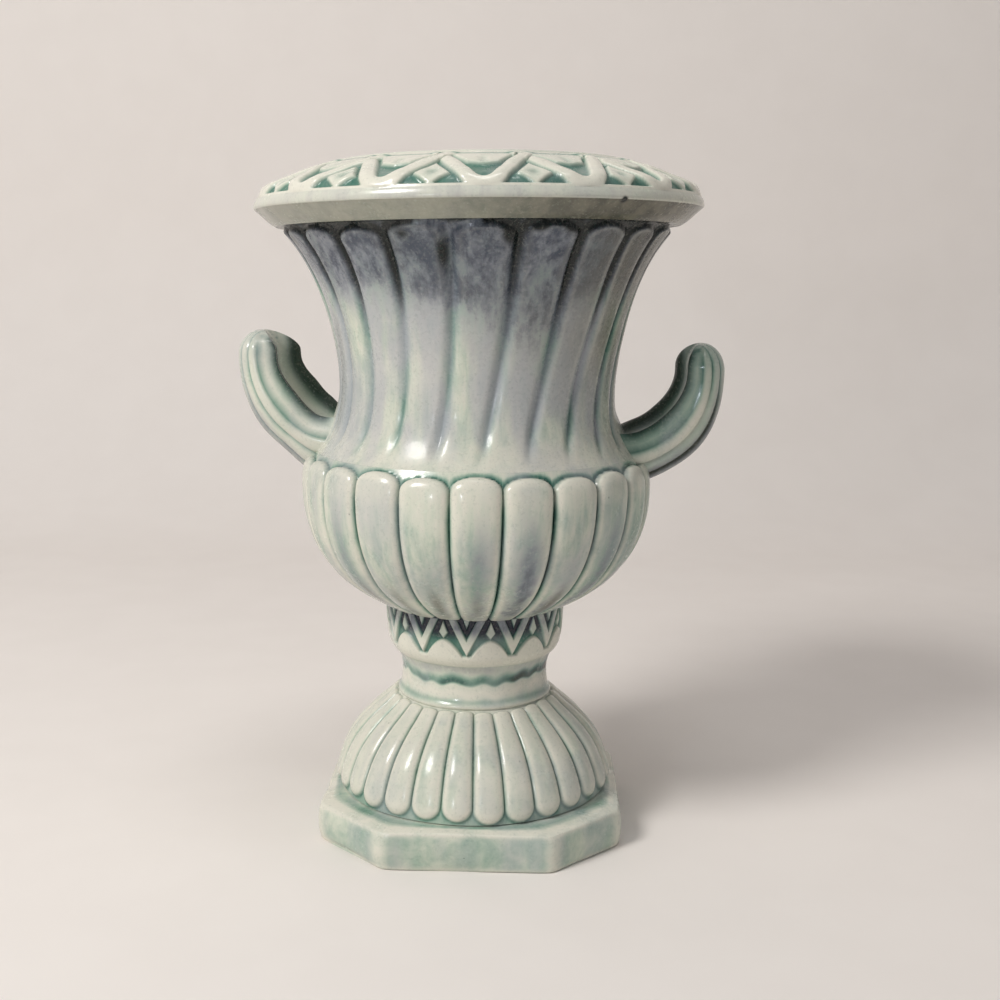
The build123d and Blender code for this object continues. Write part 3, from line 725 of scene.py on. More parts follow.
def neckSection():
    # The inside follows the outside at the wall's thickness, up to the lip and down to the throat
    inside = []
    for radius, height in neck["outside"][-3:0:-1]:
        lift = neck["flareLift"] if height > neck["flareFrom"] else 0.0
        inside.append((radius - neck["wall"], height + lift))
    return [
        ("plain", 1.5, [neck["seat"], neck["outside"][0]]),
        ("carved", 0.5, neck["outside"][1:]),
        ("plain", 2.0, [neck["lipInside"]]),
        ("plain", 5.0, inside + neck["throat"]),
        ("plain", 2.0, [neck["seat"]]),
    ]


def neckLean(turn, height):
    # The flutes lean to the right as they rise, a little more in front than at the sides
    up = height - level("fluted_neck") - neck["leanFrom"]
    share = np.sin(math.pi / 2 * np.clip(up / neck["leanRun"], 0, 1))
    return (neck["lean"] + neck["leanVary"] * np.sin(2 * turn + neck["leanPhase"] * deg)) * deg * share


def makeNeck():
    neck["section"] = neckSection()
    piece, rows, top = throwPiece(neck)
    count = neck["count"]
    base = level("fluted_neck")
    rng = np.random.default_rng(neck["seed"])
    depthOf = rng.uniform(0.7, 1.15, count)
    lift = rng.normal(0.0, 0.5, count)
    drift = rng.normal(0.0, 0.04, count)
    highDark, lowDark = rng.uniform(0.7, 1.1, (2, count))
    lowDark = lowDark * 0.8
    for number, (high, low) in neck["grooveDark"].items():
        highDark[number], lowDark[number] = high, low

    def relief(turn, along, radius, height):
        panel, across = repeatOf(turn, count, math.pi / count)
        seen = turn + neckLean(turn, height)
        # Groove 0 is the one in front, so a groove's number is that of the panel on its left, plus one
        groove = (panel + (across > 0)) % count
        across = across + drift[groove] * np.sin(along / neck["driftLength"] + groove)
        above = np.clip((along - (top - neck["archBelow"] + lift[panel])) / neck["archHeight"], 0, None)
        edge = np.sqrt(across ** 2 + above ** 2)
        halfWidth = radius * math.pi / count
        margin = (1 - edge) * halfWidth
        bottomFade = soft(along, *neck["bottomFade"])
        high = soft(along, *neck["highFade"])
        depth = mixed(neck["grooveDepth"], neck["grooveDepthTop"], high) * depthOf[groove] * bottomFade
        inPanel = soft(margin, 0.0, mixed(neck["grooveWidthLow"], neck["grooveWidth"], high))
        bandFrom, bandFull = neck["bandBelow"]
        panels = 1 - soft(along, top - bandFrom, top - bandFull)
        rise = -depth * (1 - inPanel) * panels
        rise = rise - neck["crown"] * np.clip(edge, 0, 1) ** 3 * bottomFade * panels
        moundHeight, moundHalfWidth, moundHalfHeight, moundRise = neck["mound"]
        for place in handlePlaces:
            side = wrapped(seen - place["turn"]) * radius
            up = height - (base + moundHeight + place["lift"])
            mound = np.exp(-((side / moundHalfWidth) ** 4) - ((up / moundHalfHeight) ** 4))
            rise = mixed(rise, moundRise, mound)

        # Dark glaze in the grooves and under the arches, clouds and pits high up; painted shade darkens the
        # top, the band under the lip and the right side
        lineLow, lineMore = neck["lineWidths"]
        line = bell(margin, 0.0, lineLow + lineMore * high) * panels * bottomFade
        haze = bell(margin, *neck["hazeLine"]) * panels * bottomFade
        dark = mixed(lowDark[groove], highDark[groove], soft(height, *neck["darkFade"]))
        cusp = soft(above, 0.35, 1.1) * soft(edge, 0.95, 1.2) * panels
        right = soft(np.sin(seen), 0.25, 0.85)
        arch = bell(along, *neck["archLine"]) * bell((1 - np.abs(across)) * halfWidth, *neck["archReach"])
        pool = (0.72 * line + 0.36 * haze) * dark + 0.2 * soft(height, *neck["greenFade"]) * panels
        pool = pool + 0.5 * cusp
        pool = pool + (0.25 + 0.3 * right) * arch + 0.3 * right * soft(height, *neck["rightFade"])
        ridge = (0.55 * soft(along, *neck["creamFade"]) + 0.2) * (1 - haze) * (1 - high)
        ridge = ridge + 0.3 * bell(margin, *neck["arrisLine"]) * (0.3 + 0.7 * right) * panels
        cloud = patches(seen, height, neck["clouds"])
        shade = 1 + 0.5 * ripple(seen, height * 0, 29, 9)
        cloud = cloud + neck["topShade"] * soft(height, *neck["shadeFade"]) * shade
        ink = patches(seen, height, neck["pits"]) + 0.6 * cusp * soft(cloud, 0.1, 0.8)
        ink = ink + line * dark * (0.3 + 0.75 * high) * soft(dark, 0.3, 0.9)
        # Painted shade in brown-grey under the rim's lip, and olive-brown on the right side
        lipFrom, lipFull = neck["lipShadeBelow"]
        underLipShade = soft(along, top - lipFrom, top - lipFull)
        earth = 0.75 * underLipShade + 0.62 * soft(along, *neck["oliveShadeFade"]) * right * (1 - haze)
        cloud = cloud * (1 - 0.6 * underLipShade)
        return dict(rise=rise, pool=pool, ridge=ridge, cloud=cloud, ink=ink, earth=earth)

    carve(piece, rows, relief, (count, 0.0, neck["crowding"]), neckLean)
    finishPiece(piece, neck)


# Strapwork rim

rim = {
    "node": "strapwork_rim",
    "glaze": "rim_glaze",
    "look": {"base": 0.06, "poolPull": 0.68, "broadSway": 0.24, "middleSway": 0.3, "lilacShare": 0.15},
    "steps": 840,
    "count": 15,
    "seed": 5,
    "start": 0.75,         # turn of the first U, in degrees
    # The underside, the lip, the carved band, the mouth's bead and the inside
    "section": [
        ("plain", 0.6, [(60.75, -1.35), (62.7, -0.1), (64.6, 1.6), (66.8, 3.5)]),
        ("plain", 0.3, [(67.1, 3.85), (67.15, 4.4), (66.95, 5.3), (66.4, 6.4)]),
        ("carved", 0.36, [
            (65.9, 7.6), (64.6, 9.6), (62.4, 10.9), (59.4, 12.1), (55.4, 13.9), (49.2, 15.9), (45.6, 16.8),
        ]),
        ("plain", 0.35, [(45.0, 16.2), (44.2, 17.2), (43.2, 17.5), (42.3, 16.9), (42.0, 15.6)]),
        ("plain", 2.5, [(42.2, 12.6), (48.0, 10.9), (54.0, 8.4), (57.6, 5.0), (58.4, 2.4), (58.6, 0.0)]),
        ("plain", 2.0, [(60.75, -1.35)]),
    ],
    "relief": 1.1,
    "strapCrown": 0.28,
    "shoulder": 1.0,
    "strapHalf": 2.5,
    "strapTaper": (12.0, 23.0),
    "cutFade": (0.1, 0.75),        # beside the strap that passes over
    "bendCentre": 5.7,             # the U strap: an arc of this centre and radius, then straight arms
    "bendRadius": 4.6,
    "armLean": 23.0,               # the arms' lean from square to the lip, in degrees
    # The lozenge between two straps: its low and high points, its slopes and the hollow in it
    "kiteLow": 0.6,
    "kiteHigh": 12.2,
    "kiteSlopes": (0.95, 1.55),
    "kiteSide": 0.72,
    "kiteGrow": 0.6,
    "hollowAcross": (0.0, 1.5),
    "hollowAlong": (5.8, 1.9),
    # The tongue inside the U, below the mouth's border, and the slot in it
    "tongueLow": 11.4,
    "tongueSlope": 0.25,
    "tongueGap": 0.55,
    "slotAcross": (0.0, 1.1),
    "slotFades": ((12.0, 14.0), (19.5, 16.5)),
    "borderLow": 0.9,
    "borderHigh": 1.3,
    "borderFade": 0.5,
    "groove": (2.3, 0.8),          # the green line below the bead, from the top of the face
    "edgeFades": (0.5, 0.6),
    "underHeight": 3.6,            # the underside and the lip meet here
    "underRadius": 60,
    "underShadeLine": (2.2, 3.5),
    "lipLine": (0.4, 1.4),
    "speck": [(34.6, 190.9, 0.9, 0.85, 1.7)],
}


def uDistance(across, along):
    # Distance from the middle line of a U strap whose foot is at across 0
    lean = rim["armLean"] * deg
    x, y = np.abs(across), along - rim["bendCentre"]
    forward = x * math.sin(lean) + y * math.cos(lean)
    outward = x * math.cos(lean) - y * math.sin(lean)
    return np.where(forward > 0, outward - rim["bendRadius"], np.hypot(x, y) - rim["bendRadius"])


def makeRim():
    piece, rows, top = throwPiece(rim)
    count = rim["count"]
    base = level("strapwork_rim")
    face = rows["along"] >= 0
    rng = np.random.default_rng(rim["seed"])
    slip = rng.normal(0.0, 0.25, count)
    wide = rng.normal(1.0, 0.06, count)
    shoulder = rim["shoulder"]

    def relief(turn, along, radius, height):
        unit, share = repeatOf(turn, count, rim["start"] * deg)
        half = np.interp(along, rows["along"][face], rows["radius"][face]) * math.pi / count
        across = share * half + slip[unit] * (1 - share ** 2)
        own = uDistance(across, along)
        other = uDistance(2 * half - np.abs(across), along)
        strap = rim["strapHalf"] * wide[unit] * (1 - 0.22 * soft(along, *rim["strapTaper"]))
        ownSide = np.where(share > 0, np.abs(own), np.abs(other))
        otherSide = np.where(share > 0, np.abs(other), np.abs(own))
        over = soft(strap - ownSide, -shoulder * 0.5, shoulder * 0.5)
        under = soft(strap - otherSide, -shoulder * 0.5, shoulder * 0.5)
        under = under * soft(ownSide - strap, *rim["cutFade"])
        straps = np.maximum(over, under)

        fromMiddle = half - np.abs(across)
        slopeLow, slopeHigh = rim["kiteSlopes"]
        low = rim["kiteLow"] + np.abs(fromMiddle) * slopeLow
        high = rim["kiteHigh"] - np.abs(fromMiddle) * slopeHigh
        kite = np.minimum(along - low, high - along) * rim["kiteSide"]
        clear = np.minimum(np.abs(own), np.abs(other)) - strap
        kite = soft(np.minimum(kite + rim["kiteGrow"], clear + 0.1), 0.0, shoulder)
        hollow = bell(fromMiddle, *rim["hollowAcross"]) * bell(along, *rim["hollowAlong"])
        kite = kite * (1 - 0.45 * hollow)

        inside = -own - strap
        tongueLow = rim["tongueLow"] + rim["tongueSlope"] * np.abs(across)
        tongue = soft(np.minimum(inside - rim["tongueGap"], along - tongueLow), 0.0, shoulder * 1.3)
        slotIn, slotOut = rim["slotFades"]
        slot = bell(across, *rim["slotAcross"]) * soft(along, *slotIn) * soft(along, *slotOut)
        tongue = tongue * (1 - 0.35 * slot)

        lowEdge, highEdge, fade = rim["borderLow"], top - rim["borderHigh"], rim["borderFade"]
        border = np.maximum(soft(along, lowEdge + fade, lowEdge), soft(along, highEdge - fade, highEdge))
        raised = np.maximum.reduce([straps, kite * 0.85, tongue * 0.9, border])
        fadeLow, fadeHigh = rim["edgeFades"]
        edgeFade = np.minimum(soft(along, 0.0, fadeLow), soft(along, top, top - fadeHigh))
        nearSide = np.minimum(ownSide, otherSide)
        rise = -rim["relief"] * (1 - raised) * edgeFade
        rise = rise + rim["strapCrown"] * soft(strap - nearSide, 0.0, strap) * straps * edgeFade

        # Green in the pools, bluer on the right; cream straps; painted shade in brown-grey under the lip
        onFace = along >= 0
        isUnder = ~onFace & (height < base + rim["underHeight"]) & (radius > rim["underRadius"])
        isLip = ~onFace & (height >= base + rim["underHeight"]) & (radius > rim["underRadius"])
        blue = soft(np.sin(turn + 0.1), -0.1, 0.5)
        grooveBelow, grooveWidth = rim["groove"]
        groove = bell(along, top - grooveBelow, grooveWidth)
        pool = (1 - raised) ** 0.8 * (1.0 + 0.2 * soft(np.cos(turn - 0.9), 0.0, 1.0)) + 0.4 * hollow * kite
        # Beside each strap the pool is deeper: glaze gathered at its foot, with painted shade
        pool = pool + 0.2 * bell(nearSide, strap, 0.5) + 0.75 * groove
        ridge = raised * 0.85 * (1 - groove)
        pool = np.where(onFace, pool, 0.12)
        ridge = np.where(onFace, ridge, 0.35 * ~isUnder)
        lipCloud = soft(np.cos(turn + 0.05), 0.45, 1.0)
        cloud = 0.12 * blue * (1 - raised) * onFace + 0.3 * bell(along, *rim["lipLine"]) * lipCloud * onFace
        cloud = cloud + (0.2 + 0.2 * lipCloud) * isLip
        # Painted shade under the lip, more on the right, and darker just below the lip
        earth = isUnder * (0.5 + 0.4 * soft(np.sin(turn), -0.3, 0.8))
        inkFrom, inkFull = rim["underShadeLine"]
        ink = patches(turn, height, rim["speck"]) * ~onFace
        ink = ink + 0.2 * isUnder * soft(height, base + inkFrom, base + inkFull)
        return dict(rise=rise, pool=pool, ridge=ridge, cloud=cloud, ink=ink, earth=earth)

    carve(piece, rows, relief)
    finishPiece(piece, rim)


# Chevron collar

collar = {
    "node": "chevron_collar",
    "glaze": "collar_glaze",
    "look": {"base": 0.2, "broadSway": 0.2, "middleSway": 0.2, "darkTone": "navy"},
    "steps": 720,
    "count": 12,
    "start": -5.0,         # turn of the first V's tip, in degrees
    "section": [
        ("plain", 2.0, [(16.5, 0.0), (24.6, 0.0)]),
        ("carved", 0.26, [(25.8, 1.2), (26.7, 2.7), (27.3, 4.9), (27.7, 8.0), (27.95, 12.0), (28.15, 15.9)]),
        ("plain", 2.0, [(16.5, 15.9)]),
        ("plain", 4.0, [(16.5, 0.0)]),
    ],
    "radiusTop": 28.15,
    "depth": 0.95,
    "shoulder": 0.32,
    "strapHalf": 1.15,
    "tip": 9.4,            # how far the strap's middle line falls below the bowl
    "reach": 4.75,         # and how far it opens at the top, to each side
    # The small V hung inside each strap: half width at the top, slope and length
    "inner": (1.5, 0.36, 4.4),
    # The lozenge between two straps: its low and high points, and its slopes
    "lozengeLow": 7.0,
    "lozengeHigh": 0.5,
    "lozengeSlopes": (1.25, 2.6),
    # The scalloped plain band below: its top, and the scallop's curve
    "ground": 6.9,
    "scallop": (0.42, 1.8),
    "groundGap": (0.9, 0.07),      # left beside the strap, less lower down
    "groundFull": (11.8, 12.6),
    "endFades": (0.5, 0.8),
    "darkFade": (9.0, 3.0),        # distances below the bowl
    "cloudFade": (8.5, 2.5),
    "creamFade": (5.5, 9.5),
    "topLine": (0.85, 0.2),
    "footLine": (0.4, 1.0),
}


def makeCollar():
    piece, rows, top = throwPiece(collar)
    count, reach, tip = collar["count"], collar["reach"], collar["tip"]
    slant = math.hypot(reach, tip)
    shoulder, strapHalf = collar["shoulder"], collar["strapHalf"]

    def relief(turn, along, radius, height):
        _, share = repeatOf(turn, count, collar["start"] * deg)
        half = collar["radiusTop"] * math.pi / count
        across = np.abs(share) * half
        fromHalf = half - across
        down = top - along
        # The V strap, from its middle line; its tip is drawn to a point
        strap = np.abs((down * reach + across * tip - reach * tip) / slant)
        vee = soft(strapHalf - strap, -shoulder, shoulder)
        innerHalf, innerSlope, innerLength = collar["inner"]
        inner = soft(innerHalf - across - down * innerSlope, -0.1, 2 * shoulder)
        inner = inner * soft(innerLength - down, 0.0, 0.6)
        slopeLow, slopeHigh = collar["lozengeSlopes"]
        low = collar["lozengeLow"] - fromHalf * slopeLow
        high = collar["lozengeHigh"] + fromHalf * slopeHigh
        lozenge = soft(np.minimum(low - down, down - high) * 0.6, -0.1, 2 * shoulder)
        scallop, scallopPower = collar["scallop"]
        ground = soft(down - (collar["ground"] + (fromHalf * scallop) ** scallopPower), -0.35, 0.5)
        gap, gapLess = collar["groundGap"]
        ground = ground * soft(strap - strapHalf - (gap - gapLess * down), -0.1, 0.5)
        ground = np.maximum(ground, soft(down, *collar["groundFull"]))
        raised = np.maximum.reduce([vee, inner * 0.9, lozenge * 0.8, ground])
        fadeTop, fadeFoot = collar["endFades"]
        rise = -collar["depth"] * (1 - raised) * soft(down, 0.0, fadeTop) * soft(along, 0.0, fadeFoot)

        # Navy in the channels below the bowl, turning green lower down
        dark = soft(down, *collar["darkFade"])
        front = soft(np.cos(turn + 0.05), 0.1, 0.95)
        pool = (1 - raised) * (0.8 + 0.35 * dark) + 0.3 * bell(along, *collar["footLine"])
        cloud = (vee * 0.75 + inner * 0.5 + 0.3 * lozenge) * soft(down, *collar["cloudFade"])
        cloud = cloud * (0.35 + 0.65 * front)
        ridge = (0.85 * ground + 0.8 * vee * soft(down, *collar["creamFade"])) + 0.35 * lozenge
        ink = (1 - raised) * dark * (0.45 + 0.55 * front)
        ink = np.maximum(ink, 0.95 * soft(down, *collar["topLine"]))
        onFace = along >= 0
        pool = np.where(onFace, pool, 0.3)
        return dict(rise=rise, pool=pool, ridge=ridge * onFace, cloud=cloud * onFace, ink=ink * onFace)

    carve(piece, rows, relief)
    finishPiece(piece, collar)


# Stem

stem = {
    "node": "stem_waist",
    "glaze": "stem_glaze",
    "look": {"base": 0.2, "middle": 6.0, "darkTone": "olive"},
    "steps": 300,
    "section": [
        ("plain", 2.0, [(16.5, 0.0), (22.6, 0.9)]),
        ("carved", 0.32, [
            (23.6, 1.3), (24.05, 1.9), (23.95, 2.5), (23.5, 3.2), (23.1, 4.4),
            (22.85, 6.4), (22.8, 9.0), (23.2, 11.6), (23.9, 13.7), (24.5, 14.9),
        ]),
        ("plain", 2.0, [(16.5, 14.9)]),
        ("plain", 4.0, [(16.5, 0.0)]),
    ],
    "endFade": 2.0,
    "wander": 0.12,
    "drip": 8.7,           # where the run glaze ends above the waist, and how far that wanders
    "dripWander": 1.3,
    "dripRise": 0.16,
    "dripEdge": (0.2, -0.6),       # from the drip's end
    "bandIn": (-0.3, 0.9),
    "bandOut": (4.6, 0.8),
    "creamLine": (2.4, 1.8),       # below the drip's end
    "poolLine": (3.6, 0.9),
    "filletLine": (1.8, 0.6),
    "cloudFade": (10.6, 13.4),
}


def makeStem():
    piece, rows, top = throwPiece(stem)
    base = level("stem_waist")

    def relief(turn, along, radius, height):
        up = height - base
        flat = np.zeros_like(turn)
        fade = stem["endFade"]
        wave = 0.7 * ripple(turn, flat, 31, 9) + 0.6 * ripple(turn * 3, flat, 35)
        drip = stem["drip"] + stem["dripWander"] * wave
        rise = stem["wander"] * ripple(turn, up, 33, 6) * soft(along, 0.0, fade)
        rise = rise * soft(along, top, top - fade)
        rise = rise + stem["dripRise"] * soft(up - drip, *stem["dripEdge"])
        right = soft(np.sin(turn), -0.2, 0.8)
        blotch = soft(ripple(turn * 2, up * 4, 37, 9), -0.5, 0.6)
        band = soft(up - drip, *stem["bandIn"]) * soft(up - drip, *stem["bandOut"])
        pool = band * (0.6 + 0.4 * blotch + 0.5 * right) + 0.34 * bell(up, *stem["poolLine"])
        creamBelow, creamWidth = stem["creamLine"]
        ridge = 0.9 * bell(up, drip - creamBelow, creamWidth) + 0.7 * bell(up, *stem["filletLine"])
        cloud = 0.34 * soft(up, *stem["cloudFade"]) + 0.2 * band
        ink = band * (0.3 + 0.8 * soft(np.sin(turn), 0.1, 0.7)) * (0.25 + 0.75 * blotch)
        return dict(rise=rise, pool=pool, ridge=ridge, cloud=cloud, ink=ink)

    carve(piece, rows, relief)
    finishPiece(piece, stem)


# Fluted foot

foot = {
    "node": "fluted_foot",
    "glaze": "foot_glaze",
    "look": {"base": 0.12, "runWidth": 2.6, "runStretch": 0.4, "runSway": 0.4, "darkTone": "olive"},
    "steps": 672,
    "count": 28,
    "seed": 17,
    "section": [
        ("plain", 2.0, [(37.0, 0.0), (42.6, -0.2)]),
        ("carved", 0.42, [
            (42.3, 1.9), (41.4, 5.6), (40.0, 9.4), (38.1, 13.3), (35.1, 17.6),
            (31.4, 21.6), (28.4, 24.3), (25.8, 26.7), (23.5, 28.6),
        ]),
        ("plain", 2.0, [(16.5, 28.6)]),
        ("plain", 4.0, [(16.5, 24.6), (22.6, 20.4), (31.0, 12.4), (36.1, 4.0), (37.0, 0.0)]),
    ],
    "crowding": 0.5,
    "flute": 1.75,
    "fluteFall": (12.0, 32.0),     # along the face, where the flutes get flatter
    "squareness": 2.5,
    "roundness": 0.62,
    "toe": 0.7,
    "toeHeight": 4.6,
    "head": 0.8,
    "headHeight": 1.1,
    "edgeMost": 1.6,
    "valleyLine": (0.0, 0.5),
    "hazeLine": (0.0, 1.3),
    "arrisLine": (1.2, 0.6),
    "stainLine": (14.0, 12.0),
    "toeFade": (8.0, 2.0),
    "inkFade": (1.0, 6.0),
    "creamTop": (6.0, 1.0),        # below the top of the face
}


def makeFoot():
    piece, rows, top = throwPiece(foot)
    count = foot["count"]
    start = math.pi / count
    rng = np.random.default_rng(foot["seed"])
    swell = rng.normal(1.0, 0.06, count)
    lift = rng.normal(0.0, 0.3, count)
    stain = rng.uniform(0.0, 1.0, count)

    def relief(turn, along, radius, height):
        flute, across = repeatOf(turn, count, start)
        toe = foot["toe"] + foot["toeHeight"] + lift[flute]
        below = np.clip((toe - along) / foot["toeHeight"], 0, None)
        head = top - foot["head"] - foot["headHeight"] + 0.5 * lift[flute]
        above = np.clip((along - head) / foot["headHeight"], 0, None)
        edge = np.clip(np.sqrt(across ** 2 + below ** 2 + above ** 2), 0, foot["edgeMost"])
        full = np.clip(1 - np.clip(edge, 0, 1) ** foot["squareness"], 0, 1) ** foot["roundness"]
        rise = foot["flute"] * (1 - 0.35 * soft(along, *foot["fluteFall"])) * full * swell[flute]

        # Green between the flutes and round their toes, a stain down the left of some, and painted shade in
        # the valleys and round the toes on the right side
        margin = (1 - edge) * radius * math.pi / count
        valley = bell(margin, *foot["valleyLine"])
        toePool = soft(edge, 0.9, 1.1) * soft(along, *foot["toeFade"])
        leftFace = bell(across, -0.35, 0.4) * full
        creamFrom, creamFull = foot["creamTop"]
        pool = 0.4 * valley + 0.16 * bell(margin, *foot["hazeLine"]) + 0.34 * toePool + 0.08
        pool = pool + 0.42 * stain[flute] * leftFace * bell(along, *foot["stainLine"])
        ridge = bell(margin, *foot["arrisLine"]) * 0.7 + 0.5 * full * (1 - 0.8 * stain[flute])
        ridge = ridge + 0.4 * bell(below, 0.5, 0.45) * full
        ridge = ridge + 0.5 * soft(along, top - creamFrom, top - creamFull)
        cloud = 0.2 * leftFace * stain[(flute * 5) % count] + 0.22 * valley * soft(np.sin(turn), -0.5, 0.7)
        ink = 0.22 * toePool * soft(np.sin(turn - 0.4), 0.1, 0.9)
        ink = ink + 0.3 * valley * soft(along, *foot["inkFade"])
        return dict(rise=rise, pool=pool, ridge=ridge, cloud=cloud, ink=ink)

    carve(piece, rows, relief, (count, start, foot["crowding"]))
    finishPiece(piece, foot)


# Octagonal plinth

plinth = {
    "node": "octagonal_plinth",
    "glaze": "plinth_glaze",
    "look": {"base": 0.13, "middle": 7.0, "middleSway": 0.6, "runSway": 0.1, "lilacShare": 0.35},
    "steps": 640,
    "across": 92.2,
    "cut": 21.0,
    "turn": -2.2,          # the slab sits a little askew under the foot, in degrees
    "cornerSharp": 200 / 3,        # more makes the corners sharper
    # The side, the rounded edge, the top and the hole under the foot
    "section": [
        ("plain", 2.0, [(37.0, 0.0), (45.4, 0.0)]),
        ("carved", 0.45, [(45.95, 0.5), (46.1, 1.2), (46.1, 10.9)]),
        ("carved", 0.2, [(46.0, 11.35), (45.7, 11.65), (45.2, 11.8)]),
        ("carved", 0.45, [(42.8, 12.5), (38.5, 13.1)]),
        ("plain", 1.0, [(37.0, 13.1)]),
        ("plain", 3.0, [(37.0, 0.0)]),
    ],
    "outerFade": (41.0, 45.2),     # radii between which the top turns from round to octagonal
    "cornerFade": (1.108, 1.136),
    "wander": 0.34,
    "wanderFades": ((1.0, 4.0), (12.9, 11.6)),
    "edgeWear": 0.3,
    "nicks": 1.1,
    "edgeLine": (11.5, 1.0),
    "footWear": 0.8,
    "footFade": (2.6, 0.2),
    "topFade": (11.5, 12.1),
    "creamEdge": (11.4, 0.9),
    "creamFoot": (0.5, 0.9),
    "creamRing": (43.2, 44.4),
    "greenRing": (44.9, 0.5),
    "toeRing": (43.0, 0.7),
    "darkRing": (42.7, 0.4),
}


def octagonReach(turn):
    # How much further out than a circle the octagon lies in each direction
    half = plinth["across"] / 2
    slope = (2 * half - plinth["cut"]) / math.sqrt(2)
    total = np.zeros_like(turn)
    for side in range(8):
        distance = half if side % 2 == 0 else slope
        facing = np.clip(np.cos(turn - plinth["turn"] * deg - side * math.pi / 4), 0, None)
        total = total + (facing * half / distance) ** plinth["cornerSharp"]
    return total ** (-1 / plinth["cornerSharp"])


def makePlinth():
    piece, rows, _ = throwPiece(plinth)

    def relief(turn, along, radius, height):
        outer = soft(radius, *plinth["outerFade"])
        reach = octagonReach(turn)
        corner = soft(reach, *plinth["cornerFade"])
        wave = ripple(turn, height, 41, 8)
        wanderIn, wanderOut = plinth["wanderFades"]
        rise = plinth["wander"] * wave * soft(along, *wanderIn) * soft(height, *wanderOut)
        nicks = soft(ripple(turn * 2, height * 0, 45, 12), 0.3, 1.2)
        wear = (plinth["edgeWear"] + plinth["nicks"] * nicks) * bell(height, *plinth["edgeLine"])
        rise = rise - wear * outer * (0.6 + 0.4 * corner)
        lowEdge = soft(height, *plinth["footFade"]) * soft(ripple(turn, height * 0, 43, 9), 0.0, 1.2)
        rise = rise - plinth["footWear"] * lowEdge * (height > 0.05)

        onTop = soft(height, *plinth["topFade"])
        pool = 0.2 * (1 - onTop) * (1 - 0.8 * corner) + 0.1
        pool = pool + 0.28 * bell(radius, *plinth["greenRing"]) * onTop
        pool = pool + 0.5 * onTop * bell(radius, *plinth["toeRing"])
        ridge = 1.0 * bell(height, *plinth["creamEdge"]) * outer + 0.95 * corner * (1 - onTop)
        ridge = ridge + 0.95 * onTop * soft(radius, *plinth["creamRing"])
        ridge = ridge + 0.6 * bell(height, *plinth["creamFoot"])
        cloud = 0.2 * (1 - onTop) * soft(ripple(turn, height, 47, 8), -0.3, 0.9) * (1 - corner)
        # Darker, mottled, on the right-hand sides: painted shade
        ink = 0.3 * (1 - onTop) * soft(np.sin(turn - 0.2), 0.4, 0.9) * soft(wave, 0.0, 1.0)
        ink = ink + 0.2 * onTop * bell(radius, *plinth["darkRing"])
        outline = 1 + (reach - 1) * outer
        return dict(rise=rise, outline=outline, pool=pool, ridge=ridge, cloud=cloud, ink=ink)

    carve(piece, rows, relief)
    finishPiece(piece, plinth)


# Handles

handle = {
    "width": 21.2,
    "thickness": 14.1,
    "crownRadius": 10.7,
    "crownShare": 0.98,    # how much of its width the crown takes
    "backWidth": 17.6,
    "backHollow": 3.2,
    "backPoints": 14,
    "shoulderOut": 0.55,
    "shoulderShare": 0.45,
    "lipRise": 0.9,
    "reeds": 7,
    "reedRise": 0.7,
    "reedPoints": 8,
    "sweepRadius": 27.2,
    "centreRadius": 40.4,
    "centreHeight": 33.8,
    "tipLength": 7.6,
    "tipLeast": 0.06,      # the tip's last ring, as a share of the section
    "rootTurn": 88.0,
    "swell": 0.26,         # how much thicker the arm is below than at its tip
    "steps": 72,
    "tipSteps": 16,
}

handlePlaces = [
    # twist turns the hollow back towards the front; spread, rootDrop and innerSwell shape the arm
    {
        "node": "left_handle", "glaze": "handle_glaze", "turn": -96.0 * deg, "lift": 1.5, "seed": 61,
        "shade": 0.15, "twist": 0.24, "spread": 0.0, "rootDrop": 4.2, "innerSwell": 2.7,
    },
    {
        "node": "right_handle", "glaze": "handle_glaze", "turn": 87.5 * deg, "lift": -1.5, "seed": 67,
        "shade": 1.0, "twist": -0.12, "spread": 1.7, "rootDrop": 1.0, "innerSwell": 0.4,
    },
]


def crownArc():
    # The height of the crown's centre in the section, and half the angle that the crown takes
    centre = handle["thickness"] / 2 - handle["crownRadius"]
    return centre, math.asin(handle["width"] / 2 / handle["crownRadius"] * handle["crownShare"])


def handleOutline():
    # The section: seven reeds over a crown, and a hollowed back; across first, then outwards
    halfThick = handle["thickness"] / 2
    halfBack = handle["backWidth"] / 2
    centre, halfAngle = crownArc()
    points = []
    count = handle["reeds"] * handle["reedPoints"]
    for step in range(count + 1):
        angle = -halfAngle + 2 * halfAngle * step / count
        dip = handle["reedRise"] * (1 - abs(math.sin(math.pi * handle["reeds"] * step / count)) ** 0.7)
        reach = handle["crownRadius"] - dip
        points.append((reach * math.sin(angle), centre + reach * math.cos(angle)))
    shoulder = (halfBack + handle["shoulderOut"], -halfThick * handle["shoulderShare"])
    points.append(shoulder)
    for step in range(handle["backPoints"] + 1):
        share = 1 - 2 * step / handle["backPoints"]
        lip = handle["lipRise"] * abs(share) ** 8
        points.append((halfBack * share, -halfThick + handle["backHollow"] * (1 - share ** 2) + lip))
    points.append((-shoulder[0], shoulder[1]))
    return points


